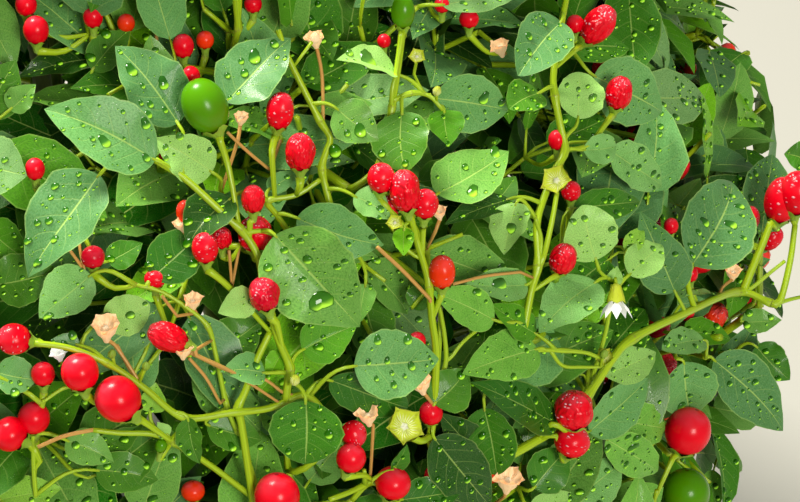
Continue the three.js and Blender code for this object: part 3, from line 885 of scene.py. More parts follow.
NEARLY_EAST = 0.8


def spokes(axis, angles):
    """The directions square to an axis, at angles round it."""
    across = unit(np.cross(axis, EAST if abs(axis[0]) < NEARLY_EAST else UP))
    through = np.cross(axis, across)
    return np.cos(angles)[..., None] * across + np.sin(angles)[..., None] * through


def berry_points(centre, axis, length, width, wrinkles, phase, theta, phi):
    """Points on a berry, theta from its calyx to its tip and phi round it."""
    dents = np.sin(3 * phi + 2.6 * theta + 6 * phase) + 0.7 * np.sin(5 * phi - 3.1 * theta + 9 * phase)
    dents = dents + 0.6 * np.sin(8 * phi + 4 * theta + 5 * phase)
    swell = 1 + wrinkles * 0.05 * dents * np.sin(theta)
    reach = width / 2 * np.sin(theta) ** 0.92 * swell
    lengthwise = -np.cos(theta) * length / 2 * (1 + 0.5 * (swell - 1))
    return centre + axis * lengthwise[..., None] + spokes(axis, phi) * reach[..., None]


def add_turned(heap, centre, axis, profile, sides, cell, lobes=0.0, swirl=0.0):
    """Adds a round shape: radii and heights along an axis. The last ring's height has five lobes."""
    phi = angles_round(sides) + swirl
    out = spokes(axis, phi)
    rings = []
    for i, (radius, height) in enumerate(profile):
        lift = lobes * np.cos(5 * phi) * (i == len(profile) - 1)
        rings.append(centre + out * radius + np.outer(height + lift, axis))
    quads, round_it, along_it = tube_faces(len(profile), sides)
    places = np.stack([round_it, along_it / (len(profile) - 1)], -1)
    heap.add(np.concatenate(rings), (quads, in_cell(places, cell)))


def add_berry(centre, axis, length, width, wrinkles, phase, kind, rings, sides):
    """Adds a berry and its calyx, and returns where its stalk meets it."""
    theta = math.pi * (np.arange(rings + 1) / rings)
    theta[0], theta[-1] = BERRY_TOP, math.pi - BERRY_FOOT
    grid = np.meshgrid(theta, angles_round(sides), indexing="ij")
    points = berry_points(centre, axis, length, width, wrinkles, phase, *grid)
    quads, round_it, along_it = tube_faces(rings + 1, sides)
    row = 2 + int(phase * 2) if wrinkles > WRINKLED_ABOVE else int(wrinkles > BEADED_ABOVE)
    places = in_cell(np.stack([round_it, along_it / rings], -1), (kind, row))
    end_places = np.stack([np.full((2, sides), 0.5), np.repeat([[0.0], [1.0]], sides, 1)], -1)
    ends = (end_faces(rings + 1, sides), in_cell(end_places, (kind, row)))
    berry_heaps[kind == GREEN].add(points.reshape(-1, 3), (quads, places), ends)
    profile = [
        (0.7, -length / 2 - 2), (0.12 * width + 0.35, -length / 2 - 0.7),
        (0.25 * width, -0.495 * length), (0.34 * width, -0.41 * length),
    ]
    calyx_sides = FRONT_CALYX_SIDES if rings == FRONT_RINGS else GROWN_CALYX_SIDES
    add_turned(calyx_heap, centre, axis, profile, calyx_sides, (CUP, 0), 0.05 * length, 6 * phase)
    return centre - axis * (length / 2 + CALYX_GAP)


taken = {}


def room_for(point, spacing):
    """Whether nothing taken lies within the spacing of a point. Takes the point if so."""
    cell = tuple((point // spacing).astype(int))
    for dx in (-1, 0, 1):
        for dy in (-1, 0, 1):
            for dz in (-1, 0, 1):
                for other in taken.get((cell[0] + dx, cell[1] + dy, cell[2] + dz), ()):
                    if np.linalg.norm(other - point) < spacing:
                        return False
    taken.setdefault(cell, []).append(point)
    return True


berry_heaps = {False: Heap(), True: Heap()}
calyx_heap = Heap()
draw = numbers_from(BERRY_SEED)
for x, y, length, width, tilt, near, wrinkles, kind, *stops in FRONT_FRUIT:
    lean = math.radians(tilt)
    axis = unit(math.cos(lean) * upward + math.sin(lean) * rightward + LEAN_TO_VIEW * nearer)
    centre = at_pixel(x, y, near)
    scale = pixel_size(centre)
    size = (length * scale * 1.03, width * scale)
    foot = add_berry(centre, axis, *size, wrinkles, draw(), kind, FRONT_RINGS, FRONT_SIDES)
    room_for(centre, LEAST_SPACING)
    if stops:
        nears = np.linspace(near, -3, len(stops) + 1)[1:]
        course = [foot, *(at_pixel(px, py, depth) for (px, py), depth in zip(stops, nears))]
        course[-1] = nearest(front_perches, course[-1])
    else:
        perch = nearest(all_perches, foot - 6 * axis)
        course = [foot, between((foot, perch), 0.5) - 2 * axis, perch]
    path = smooth(course, 2)
    tone = DRY if (x, y) == DRY_FRUIT else PALE_GREEN
    thick = THIN_STALK if tone == DRY else min(THIN_STALK + STALK_PER_PIXEL * width, THICK_STALK)
    shares = np.linspace(1, 0.62, len(path)) + 0.25 * np.exp(-np.arange(len(path)) / 1.5)
    shoot_heap.add_tube(path, thick * shares, 8, (tone, 1))

# The cups. When a berry has dropped, its cup is left on the stalk as a five-pointed star, green first and dry
# later. Among them stand small buds, bare dry stalks and one drooping white flower, each joined to a shoot.
# A row gives a cup's or bud's pixel, its size in pixels, its depth in mm, its kind, and its stalk's pixels.
STARS = (
    (557, 181, 31, 0, STAR, (557, 192)), (404, 427, 38, 2, STAR, (420, 441), (435, 463)),
    (417, 57, 17, -2, STAR, (414, 74), (411, 93)), (395, 223, 17, 0, STAR, (405, 232)),
    (106, 329, 30, 0, DRIED, (115, 345), (131, 373)), (421, 384, 25, -1, DRIED, (428, 398), (434, 406)),
    (508, 481, 30, 1, DRIED, (505, 496), (502, 515)), (368, 416, 24, -2, DRIED, (373, 425), (376, 442)),
    (439, 213, 17, -2, DRIED, (435, 232), (434, 262)), (183, 350, 22, 2, DRIED, (191, 353)),
    (241, 119, 16, -3, DRIED, (238, 140), (234, 170)), (315, 40, 20, -2, DRIED, (322, 76), (322, 119)),
    (733, 273, 18, -2, DRIED, (722, 288), (709, 301)), (605, 357, 18, 0, STAR, (598, 358)),
    (193, 302, 20, -6, DRIED, (196, 312)), (59, 354, 18, -6, PETAL, (60, 372)), (181, 225, 16, -6, DRIED),
    (500, 48, 20, -12, DRIED), (155, 18, 16, -16, DRIED),
)
BUDS = (
    (437, 91, 9, 0, STAR), (295, 380, 10, 3, STAR), (315, 38, 10, 0, DRIED), (604, 354, 9, 2, CUP),
    (112, 354, 8, 0, CUP), (146, 366, 8, 1, CUP),
)
# A row gives a dry stalk's depths in mm at both ends, its width in pixels and its course.
DRY_STALKS = (
    (1, -5, 4, (227, 132), (248, 152), (270, 170)), (1, -2, 5, (377, 247), (404, 272), (430, 299)),
    (0, -4, 4, (190, 353), (232, 372), (262, 378), (282, 392)),
    (0, -5, 4, (189, 358), (206, 378), (220, 403)), (-2, -6, 4, (69, 249), (84, 270)),
    (-3, -6, 4, (162, 296), (177, 316)), (-1, -4, 4, (453, 284), (486, 276), (520, 272)),
    (-3, -2, 5, (38, 447), (64, 436), (92, 430)), (-2, -6, 4, (117, 345), (131, 372)),
    (-3, -6, 4, (229, 250), (232, 286)),
)
STAR_RINGS = ((0.05, 0.11), (0.2, 0.09), (0.26, -0.02), (0.5, 0.0), (0.76, 0.1), (1.0, 0.24))
STAR_FUNNEL = ((0.09, -0.5), (0.16, -0.3), (0.3, -0.1))
STAR_SIDES = 40
STAR_TILT, DRIED_TILT = 0.35, 1.3
STAR_DEPTH_AND_CRUMPLE, DRIED_DEPTH_AND_CRUMPLE = (0.22, 0.015), (0.34, 0.08)
BUD_PROFILE = ((0.1, -0.5), (0.35, -0.35), (0.5, 0.0), (0.33, 0.35), (0.04, 0.52))
BUD_WIDTH, BUD_LENGTH = 0.24, 0.3
DRY_STALK_RADIUS = 0.42
STAR_SIZE_SEEN = 1.08
CUP_SWAY = 0.8
THIN_STALK_RADIUS = 0.4
FLOWER_PIXEL = (616, 299, 4)
PETALS = 5
PETAL_OUT, PETAL_DOWN, PETAL_HALF_WIDTH = 4.0, 4.8, 1.3
PISTIL_PROFILE = ((0.1, -2.6), (0.35, -1.8), (0.45, -0.6))
BELL_PROFILE = ((0.5, 3.8), (1.3, 3.1), (1.7, 1.8), (2.1, 0.6), (2.4, -0.7))


def add_star(centre, axis, size, cell, swirl, depth, crumple):
    """Adds a five-pointed cup with the round scar of the fruit in its middle."""
    phi = angles_round(STAR_SIDES)
    point = np.abs((5 * phi / (2 * math.pi)) % 1 * 2 - 1)
    reach = size / 2 * (0.76 + 0.14 * point**2 + 0.13 * point**7)
    out = spokes(axis, phi + swirl)
    points = []
    for share, height in STAR_RINGS:
        wave = crumple * share**2 * (np.sin(3 * phi + 5 * swirl) + 0.6 * np.sin(7 * phi + 2 * swirl))
        lift = (3.3 * height * depth + wave) * size
        points.append(centre + out * (share * reach * (1 - 1.5 * wave))[:, None] + np.outer(lift, axis))
    quads, round_it, along_it = tube_faces(len(STAR_RINGS), STAR_SIDES)
    places = in_cell(np.stack([round_it, np.array([share for share, _ in STAR_RINGS])[along_it]], -1), cell)
    middle = in_cell(np.full((1, STAR_SIDES, 2), 0.05), cell)
    calyx_heap.add(np.concatenate(points), (quads, places), (end_faces(1, STAR_SIDES)[:1], middle))
    rim = 0.8 * depth * size - 0.04 * size
    funnel = [(radius * size, height * size) for radius, height in STAR_FUNNEL]
    add_turned(calyx_heap, centre, axis, [*funnel, (0.41 * size, rim)], 20, (cell[0], 1))


def add_stalk(course, radius, tone):
    path = smooth(course, 2.5)
    shoot_heap.add_tube(path, radius * np.linspace(1.1, 0.9, len(path)), 7, (tone, 2))


for x, y, size, near, kind, *stops in STARS:
    centre = at_pixel(x, y, near)
    tilt = STAR_TILT if kind == STAR else DRIED_TILT
    axis = unit(nearer + tilt * upward + CUP_SWAY * (draw() - 0.6) * rightward)
    size = size * pixel_size(centre) * STAR_SIZE_SEEN
    depth_and_crumple = STAR_DEPTH_AND_CRUMPLE if kind == STAR else DRIED_DEPTH_AND_CRUMPLE
    add_star(centre, axis, size, (kind, 0), 6 * draw(), *depth_and_crumple)
    course = [at_pixel(px, py, near - 2 * i - 2) for i, (px, py) in enumerate(stops)]
    end = nearest(all_perches, course[-1] if course else centre - 5 * axis)
    stout = DRY_STALK_RADIUS if kind == DRIED else 0.09 * size
    add_stalk([centre - 0.4 * size * axis, *course[:-1], end], stout, DRY if kind == DRIED else PALE_GREEN)
for x, y, size, near, kind in BUDS:
    centre = at_pixel(x, y, near)
    profile = [(radius * size * BUD_WIDTH, height * size * BUD_LENGTH) for radius, height in BUD_PROFILE]
    add_turned(calyx_heap, centre, unit(UP + 0.3 * rightward), profile, 10, (kind, 0))
    add_stalk([centre, nearest(all_perches, centre - 3 * UP)], THIN_STALK_RADIUS, PALE_GREEN)
for near_tip, near_foot, width, *stops in DRY_STALKS:
    course = smooth(stops, RING_EVERY)
    nears = np.linspace(near_tip, near_foot, len(course))
    path = [at_pixel(x, y, near) for (x, y), near in zip(course, nears)]
    path.append(nearest(all_perches, path[-1] - 2 * nearer))
    shoot_heap.add_tube(path, np.full(len(path), width * 0.095), 7, (DRY, 3))
flower = at_pixel(*FLOWER_PIXEL)
for i in range(PETALS):
    turn = 2 * math.pi * (i + 0.3) / PETALS
    out = math.cos(turn) * rightward + math.sin(turn) * nearer
    tip = flower + PETAL_OUT * out - PETAL_DOWN * upward
    root = flower + 1.1 * out
    middle = (root + tip) / 2 + 0.3 * out
    side = unit(np.cross(tip - root, out)) * PETAL_HALF_WIDTH
    petal = np.array([root, middle - side, middle + 0.3 * out, middle + side, tip + 0.2 * out])
    faces = np.array([[0, 1, 2], [0, 2, 3], [1, 4, 2], [2, 4, 3]])
    calyx_heap.add(petal, (faces, in_cell(np.full((4, 3, 2), 0.5), (PETAL, 0))))
add_turned(calyx_heap, flower, upward, PISTIL_PROFILE, 8, (STAR, 0))
add_turned(calyx_heap, flower, upward, BELL_PROFILE, 10, (STAR, 1), 0.3)
flower_course = [flower + 4 * upward, flower + 5 * upward - 1.5 * nearer, at_pixel(613, 285, -2)]
add_stalk(flower_course, THIN_STALK_RADIUS, PALE_GREEN)

# The finish's columns are the four kinds. Its first row runs from the middle of a cup or petal to the rim,
# and its second covers the outside.
calyx_finish = Finish("calyx", Roughness=0.55)
place, across_all, along_all = calyx_finish.cells()
column = math.floor(across_all)
along = along_all % 1
outer = [(0.27, 0.46, 0.03), (0.6, 0.7, 0.025), (0.98, 0.98, 0.95), (0.93, 0.62, 0.34)]
inner = [(0.3, 0.48, 0.05), (0.95, 0.95, 0.75), (0.98, 0.98, 0.95), (1.0, 0.82, 0.58)]
rim_colour = calyx_finish.one_of(column, outer)
heart_colour = calyx_finish.one_of(column, inner)
fibres = calyx_finish.noise(place, (60, 8, 1), 3)
ribs = abs((((across_all % 1) * 27 + fibres) % 1) - 0.5).eased(0.26, 0.42) * (1 - along.eased(0.5, 0.85))
inside = along_all < 1
surface = calyx_finish.mix(((1 - along.eased(0.2, 0.26)) + ribs * 0.75) * inside, rim_colour, heart_colour)
worn = calyx_finish.mix((1 - fibres.eased(0.3, 0.5)) * 0.3, surface, (0.3, 0.24, 0.05))
thin = column > 1.5
rimmed = calyx_finish.mix(along.eased(0.9, 0.97) * (1 - thin) * 0.35, worn, (0.4, 0.28, 0.08))
# Petals and dried cups glow a little: painted light.
painted_glow_of_thin_parts = calyx_finish.mix(thin * 0.3, (0.0, 0.0, 0.0), worn)
calyx_finish.set(Base_Color=rimmed, Emission_Color=painted_glow_of_thin_parts, Emission_Strength=1.0)
calyx_finish.bump(fibres, 0.0006, 0.8)


# The grown fruit stands at the nodes of the outer shoots, by the same rule on every side of the crown.
for shoot in shoots:
    for index, (node, along_shoot) in enumerate(zip(shoot["nodes"][1:], shoot["headings"])):
        draw = numbers_from(seed_of(shoot["seed"], GROWN_BERRY_CHILD + index))
        if draw() > BERRY_CHANCE[shoot["level"]] or share_of_reach(node) < BERRY_SHARE:
            continue
        outward = unit(node - HEART)
        tilt = np.array([draw(), draw(), draw()]) - 0.5
        axis = unit(UP + BERRY_OUTWARD * outward + BERRY_TILT * tilt)
        stalk = between(BERRY_STALK, draw())
        length = between(BERRY_LENGTH, draw())
        centre = node + axis * (stalk + length / 2)
        if share_of_reach(centre + 0.5 * length * axis) > 1 or hides_view(centre, BERRY_BEHIND)[0]:
            continue
        if not room_for(centre, FRUIT_SPACING):
            continue
        ripe = draw() > GREEN_CHANCE
        kind = (RED, RED, RED, DARK_RED, ORANGE)[int(draw() * 5)] if ripe else GREEN
        width = length * between(BERRY_WIDTH, draw())
        wrinkles = max(0, draw() * 1.6 - 0.6)
        foot = add_berry(centre, axis, length, width, wrinkles, draw(), kind, GROWN_RINGS, GROWN_SIDES)
        bend = node + unit(along_shoot + axis) * stalk * 0.45
        shares = np.linspace(0, 1, 5)
        shoot_heap.add_tube(bezier([node, bend, foot], shares), 0.42 + 0.3 * shares**2, 5, (PALE_GREEN, 1))

# The finish's columns are the four kinds. Its rows are smooth skin, beaded skin and twice wrinkled skin.
berry_finish = Finish("berry", Specular_IOR_Level=0.22, Emission_Strength=1.0)
place, across_all, along_all = berry_finish.cells()
column = math.floor(across_all)
along = along_all % 1
wrinkled = along_all > 2
skins = [(0.88, 0.0, 0.012), (0.97, 0.04, 0.003), (0.72, 0.0, 0.02), (0.085, 0.29, 0.002)]
skin = berry_finish.one_of(column, skins)
clouds = berry_finish.noise(place, 14, 3)
folds = berry_finish.noise(place, (34, 15, 1), 2)
dimples = berry_finish.noise(place, (64, 27, 1), 1)
creases = 1 - abs(dimples - 0.45).eased(0.0, 0.07)
darker = berry_finish.mix(0.55, skin, (0.2, 0.0, 0.0))
# Cloudy patches of darker skin, and painted shade in the creases of wrinkled berries.
clouded_and_crease_shaded = berry_finish.mix(clouds.eased(0.45, 0.75) * 0.25 + wrinkled * creases * 0.3, skin, darker)
# Painted shade over the lower end of each berry, and the dark scar of the style at its tip.
shade_below_and_tip_scar = (1 - along.eased(0.05, 0.4)) * 0.4 + along.eased(0.955, 0.975) * 0.7
# A painted sheen: pale pink in cloudy patches towards the tip, where the sky would be reflected.
painted_sheen = along.eased(0.5, 0.85) * clouds.eased(0.3, 0.65) * (column < 2.5) * 0.3
glint = berry_finish.make("TexVoronoi", (), {"Vector": place, "Scale": 60, "Randomness": 1})
glints = (1 - glint.eased(0.1, 0.3)) * berry_finish.noise(place, 12, 1).eased(0.45, 0.55) * (along_all > 1)
with_painted_sheen = berry_finish.mix(painted_sheen, clouded_and_crease_shaded, (1.0, 0.14, 0.22))
# Pale pink spots over the upper part of beaded and wrinkled berries are painted glints, and glow a little
# too.
sparkle = glints * along.eased(0.15, 0.5) * (column < 2.5)
with_painted_glints = berry_finish.mix(sparkle * 0.7, with_painted_sheen, (1.0, 0.55, 0.62))
painted_glint_glow = berry_finish.mix(sparkle * 0.25, (0.0, 0.0, 0.0), (1.0, 0.6, 0.66))
skin_seen = berry_finish.mix(shade_below_and_tip_scar, with_painted_glints, (0.07, 0.0, 0.003))
berry_finish.set(Base_Color=skin_seen, Roughness=0.18 + clouds * 0.12, Emission_Color=painted_glint_glow)
relief = wrinkled * (folds * 1.2 + dimples.eased(0.3, 0.7) * 0.55) + dimples * 0.03 + glints * 0.9
berry_finish.bump(relief, 0.0008, 0.7)

piece_of("green_shoots", shoot_heap, shoot_finish, [])
piece_of("ripe_fruit", berry_heaps[False], berry_finish, [])
piece_of("green_fruit", berry_heaps[True], berry_finish, [])
piece_of("calyces_and_flowers", calyx_heap, calyx_finish, [])


# The leaves. They are thin, oval and pointed, folded a little along the midrib, pale at the veins and rim,
# each on a slender stalk from a node. Most are grey-green, young ones brighter, old ones dark and glossy.
# Those deep in the crown are given the darker kinds as painted shade.
LEAF_ANGLE = 62
LEAF_SLOPE = 0.35
FACE_OUTWARD = 0.7
FACE_TILT = 0.8
LEAF_LENGTH = (17, 30)
LEAF_SLENDERNESS = (0.5, 0.64)
LEAFSTALK = (4, 9)
LEAFSTALK_RADIUS = 0.42
FRONT_STALK_RADIUS = 0.5
LEAVES_PER_NODE = 3
OUTLINE_BASE = 0.55
SHARP_TIP = (0.92, 1.12)
ROUND_TIP = 0.68
ROUND_LEAVES = (6, 10, 11, 12, 14, 23, 24, 38, 53, 58, 59, 64, 73)
PAST_SOLIDS = 9
FRONT_LEAF_SEED, GROWN_LEAF_CHILD = 2024, 90
ROLL_JITTER = 8
SEEN_WIDER = 1.1
LEAF_TURN, LEAF_TURN_JITTER = 125, 50
END_LEAF_RISE = 40
LEAF_DROOP, LEAF_DROOP_RANGE = 0.1, 0.35

# A row gives the pixels of a blade's foot and tip, its width in pixels, the depths in mm of foot and tip,
# half the degrees it is rolled by, and its kind.
FRONT_LEAVES = (
    (155, 160, 44, 109, 66, 1, 4, 5, 0), (178, 123, 115, 46, 62, -3, -2, 10, 12),
    (212, 172, 154, 138, 45, -2, 0, -8, 15), (226, 102, 291, 38, 62, -3, -2, -6, 12),
    (396, 74, 336, 60, 40, -4, -3, 20, 15), (336, 108, 379, 141, 42, -2, 0, 5, 8),
    (402, 112, 405, 172, 55, -2, 1, 4, 9), (444, 110, 449, 147, 36, -3, -2, -5, 3),
    (433, 98, 508, 110, 54, -6, -6, 12, 0), (437, 194, 509, 151, 58, 1, 3, -10, 8),
    (561, 22, 518, 76, 52, 0, 2, 0, 12), (539, 93, 509, 109, 38, -1, 1, 8, 9),
    (578, 119, 580, 72, 45, -3, -2, 5, 15), (594, 76, 662, 112, 60, -9, -8, 0, 0),
    (583, 150, 616, 146, 28, -2, 0, 9, 10), (610, 150, 662, 186, 40, -9, -9, 0, 10),
    (99, 175, 28, 278, 75, 0, -1, 6, 12), (-22, 163, 27, 176, 60, -3, -2, 0, 1),
    (91, 275, 39, 318, 52, -5, -4, 4, 10), (-5, 285, 60, 270, 50, -10, -10, 0, 9),
    (231, 198, 187, 248, 50, -3, -2, 12, 4), (254, 297, 218, 313, 30, -2, 0, -12, 15),
    (275, 235, 360, 327, 88, 3, 5, 5, 8), (153, 277, 200, 235, 50, -7, -7, 0, 5),
    (104, 320, 150, 305, 38, -7, -6, 5, 15), (108, 262, 143, 243, 28, -10, -10, 0, 7),
    (268, 190, 296, 172, 20, -7, -6, 0, 0), (297, 218, 384, 245, 55, -4, -3, 14, 0),
    (366, 284, 361, 322, 28, -2, -1, 12, 8), (302, 350, 358, 324, 44, -5, -3, 8, 3),
    (354, 196, 391, 220, 32, -3, -1, -8, 10), (404, 228, 404, 256, 20, -1, 1, 0, 6),
    (509, 199, 444, 225, 30, -7, -6, 12, 4), (516, 203, 504, 255, 40, -1, 1, 14, 15),
    (494, 320, 432, 292, 40, -3, -2, 6, 13), (527, 285, 463, 285, 33, -6, -5, 0, 10),
    (536, 334, 490, 304, 34, -5, -4, 8, 3), (442, 5, 518, -5, 30, -5, -5, 0, 1),
    (596, 260, 582, 205, 55, 0, 1, 5, 15), (573, 208, 640, 202, 30, -7, -7, 0, 7),
    (626, 252, 643, 226, 18, -5, -5, 0, 2), (629, 275, 662, 245, 34, 0, 1, -6, 15),
    (613, 285, 617, 266, 15, -2, -1, 0, 15), (675, 292, 640, 211, 50, -3, -2, -9, 12),
    (692, 265, 732, 182, 70, 0, 2, 5, 12), (596, 282, 539, 333, 50, -2, -1, 8, 10),
    (722, 297, 683, 298, 13, -3, -2, 20, 15), (742, 322, 782, 320, 24, -9, -9, 0, 8),
    (265, 373, 220, 372, 34, -3, -2, 10, 0), (150, 412, 156, 382, 26, -5, -4, 0, 2),
    (188, 418, 200, 464, 28, -1, 1, 10, 9), (207, 425, 262, 440, 34, -9, -9, 0, 9),
    (79, 345, 50, 340, 17, -3, -2, 0, 12), (-4, 372, 36, 380, 36, -7, -7, 0, 0),
    (66, 440, 114, 462, 34, -7, -7, 0, 8), (96, 470, 158, 480, 38, -9, -9, 0, 9),
    (-2, 500, 62, 488, 36, -10, -9, 0, 2), (354, 366, 439, 359, 64, 2, 4, 5, 0),
    (306, 401, 305, 464, 69, 2, 3, 3, 7), (330, 380, 408, 408, 42, -4, -3, 14, 5),
    (284, 350, 268, 382, 20, -6, -6, 0, 6), (434, 404, 468, 368, 44, -4, -3, 6, 9),
    (537, 349, 462, 374, 50, -2, -1, 6, 13), (556, 424, 470, 382, 46, -2, 0, 8, 5),
    (484, 408, 497, 475, 50, -4, -1, 8, 7), (434, 438, 490, 506, 52, -4, -3, 4, 4),
    (394, 470, 407, 444, 18, -1, 1, 22, 7), (400, 500, 462, 490, 36, -4, -3, 0, 5),
    (589, 432, 648, 378, 42, -4, -3, 16, 0), (606, 439, 658, 471, 38, -4, -3, 8, 13),
    (604, 375, 656, 352, 36, -5, -4, 0, 15), (622, 420, 665, 428, 40, -9, -9, 0, 13),
    (684, 362, 690, 416, 56, -6, -6, 0, 0), (704, 340, 662, 350, 30, -6, -6, 8, 10),
    (714, 360, 783, 431, 58, -7, -5, -8, 12), (534, 488, 568, 448, 42, -6, -5, 8, 7),
    (576, 498, 622, 462, 44, -6, -5, 0, 10), (530, 506, 586, 499, 20, -4, -3, 0, 15),
    (756, 346, 790, 380, 34, -10, -10, 0, 7), (806, 160, 784, 154, 28, -4, -3, 0, 7),
    (168, 436, 157, 422, 14, -3, -2, 0, 15), (84, 446, 152, 404, 52, -15, -14, 0, 9),
    (100, 474, 166, 426, 54, -14, -13, 0, 9), (-14, 226, 30, 262, 40, -15, -14, 0, 3),
    (494, 204, 516, 176, 26, -14, -13, 0, 9), (412, 308, 430, 286, 24, -13, -12, 0, 9),
    (10, 110, 36, 84, 28, -15, -14, 0, 8), (476, 456, 438, 412, 38, -8, -7, 0, 4),
    (214, 354, 262, 320, 46, -15, -14, 0, 9), (-16, 118, 16, 60, 46, -17, -16, 0, 9),
    (92, 70, 130, 30, 34, -17, -16, 0, 9),
)
# The base colour, how much paler the veins are, and the gloss of each of the sixteen kinds of leaf.
LEAF_KINDS = (
    ((0.162, 0.416, 0.119), 0.5, 0.3), ((0.211, 0.421, 0.137), 0.4, 0.3), ((0.315, 0.641, 0.065), 0.3, 0.2),
    ((0.0869, 0.323, 0.00801), 0.4, 0.3), ((0.011, 0.066, 0.005), 0.4, 1.0),
    ((0.022, 0.14, 0.006), 0.38, 0.9), ((0.199, 0.578, 0.00627), 0.45, 0.3),
    ((0.0415, 0.199, 0.00586), 0.42, 0.4), ((0.164, 0.407, 0.064), 0.42, 0.4),
    ((0.065, 0.225, 0.0117), 0.38, 0.5), ((0.238, 0.538, 0.14), 0.35, 0.1), ((0.3, 0.42, 0.05), 0.4, 0.2),
    ((0.102, 0.274, 0.0882), 0.5, 0.5), ((0.194, 0.509, 0.0593), 0.45, 0.3),
    ((0.015, 0.226, 0.004), 1.0, 0.6), ((0.384, 0.713, 0.17), 0.4, 0.2),
)
COMMON_KINDS = (0, 0, 1, 8, 8, 8, 13, 13, 12, 12, 12, 3, 3, 7, 7, 9, 9, 5, 4, 6)
SHADED_KINDS = (3, 4, 5, 9, 9, 14, 14, 12)
SHADED_SHARE = 0.82
STALK_SIDES, STALK_RINGS = 5, 7
FAR_STALK_SIDES, FAR_STALK_RINGS = 3, 3
FRONT_GRID, GROWN_GRID = (13, 24), (5, 7)
GROWN_TIP = (0.75, 1.1)
LEAF_PIECES = 2


def outline(along, tip):
    """How wide a blade is along itself, as a share of its width."""
    peak = OUTLINE_BASE / (OUTLINE_BASE + tip)
    full = peak**OUTLINE_BASE * (1 - peak) ** tip
    return along**OUTLINE_BASE * (1 - along) ** tip / full


class Blades:
    """Many leaves, as arrays."""

    def __init__(self, rows):
        self.base, self.tip, self.face = (np.array([row[i] for row in rows]) for i in range(3))
        self.width, self.phase, self.kind = (np.array([row[i] for row in rows]) for i in range(3, 6))
        self.length = np.linalg.norm(self.tip - self.base, axis=1)
        self.along = unit(self.tip - self.base)
        self.face = unit(self.face - self.along * (self.face * self.along).sum(1, keepdims=True))
        self.side = np.cross(self.along, self.face)
        self.fold = 0.1 + 0.28 * (self.phase * 7.3 % 1)
        self.arch = self.length * (0.02 + 0.09 * (self.phase * 3.7 % 1))
        self.wave = 0.02 + 0.09 * (self.phase * 5.1 % 1)
        self.sharp = np.array([row[6] for row in rows])

    def pick(self, which, *names):
        return (getattr(self, name)[which][:, None] for name in names)

    def at(self, which, u, v):
        """Points on blades, u across from -1 to 1, and v along from 0 to 1."""
        base, along, side, face = self.pick(which, "base", "along", "side", "face")
        length, width, fold, arch = self.pick(which, "length", "width", "fold", "arch")
        wave, phase, sharp = self.pick(which, "wave", "phase", "sharp")
        turn = 2 * math.pi
        notches = 1 + 0.022 * np.sin(turn * (4.3 * v + 3 * phase))
        notches = notches + 0.015 * np.sin(turn * (7 * v + phase) + 2 * u)
        half = width / 2 * outline(v, sharp) * notches
        rise = arch * 4 * v * (1 - v) * (0.4 + 0.6 * v) + half * np.abs(u) * fold
        ripple = np.sin(turn * (2.6 * v + phase) + 1.9 * (u > 0)) * u * u * half * wave
        quilt = np.sin(turn * (7 * v - 1.8 * np.abs(u)) + 6 * phase) * (1 - u * u) * np.abs(u) * width * 0.008
        sway = width * 0.05 * np.sin(math.pi * v) * np.sin(9 * phase)
        flat = base + along * (length * v)[..., None] + side * (u * half + sway)[..., None]
        return flat + face * (rise + ripple + quilt)[..., None]


def blade_grid(columns, rows):
    """Places on a blade, and its triangles at both ends and quads between, as place numbers."""
    across = np.linspace(-1, 1, columns)
    lengthwise = (1 - np.cos(math.pi * np.linspace(0, 1, rows + 1)[1:-1] * 0.96)) / 2 * 1.01
    u = np.concatenate([[0], np.tile(across, rows - 1), [0]])
    v = np.concatenate([[0], np.repeat(lengthwise, columns), [1]])
    row, column = np.meshgrid(np.arange(rows - 2), np.arange(columns - 1), indexing="ij")
    corner = 1 + row.ravel() * columns + column.ravel()
    quads = np.stack([corner, corner + 1, corner + columns + 1, corner + columns], 1)
    foot = 1 + np.arange(columns - 1)
    top = foot + (rows - 2) * columns
    last = 1 + (rows - 1) * columns
    foot_fan = np.stack([0 * foot, foot + 1, foot], 1)
    ends = np.concatenate([foot_fan, np.stack([top, top + 1, 0 * top + last], 1)])
    return u, v, ends, quads


def add_blades(heap, blades, which, columns, rows):
    u, v, ends, quads = blade_grid(columns, rows)
    points = blades.at(which, np.tile(u, (len(which), 1)), np.tile(v, (len(which), 1)))
    cells = np.stack([blades.kind[which] % CELLS, blades.kind[which] // CELLS], 1)
    heap.add_many(points, in_cell(np.stack([(u + 1) / 2, v], 1)[None], cells[:, None]), ends, quads)


stalk_heap = Heap()


def add_leafstalk(foot, base, along, radius, sides, rings):
    """The curved stalk from a node to the foot of a blade, with a little of it under the blade."""
    reach = 0.45 * np.linalg.norm(base - foot)
    leaving = reach * unit(unit(base - foot) + 0.4 * UP)
    stops = [foot, foot + leaving, base - reach * along, base + 0.8 * along]
    shares = np.linspace(0, 1, rings)
    stalk_heap.add_tube(bezier(stops, shares), radius * (1.25 - 0.5 * shares), sides, (YELLOW_GREEN, 0))


draw = numbers_from(FRONT_LEAF_SEED)
front_rows = []
for number, (base_x, base_y, tip_x, tip_y, width, base_near, tip_near, roll, kind) in enumerate(FRONT_LEAVES):
    base, tip = at_pixel(base_x, base_y, base_near), at_pixel(tip_x, tip_y, tip_near)
    along = unit(tip - base)
    level_face = nearer + 0.25 * UP
    rolled = roll * 2 - ROLL_JITTER + 2 * ROLL_JITTER * draw()
    face = turned(unit(level_face - along * (level_face @ along)), along, rolled)
    width_seen = width * pixel_size(tip)
    pointed, phase = between(SHARP_TIP, draw()), draw()
    sharp = ROUND_TIP if number in ROUND_LEAVES else pointed
    front_rows.append((base, tip, face, width_seen * SEEN_WIDER, phase, kind, sharp))
    foot = nearest(all_perches, base - 4 * along)
    add_leafstalk(foot, base, along, FRONT_STALK_RADIUS, STALK_SIDES, STALK_RINGS)

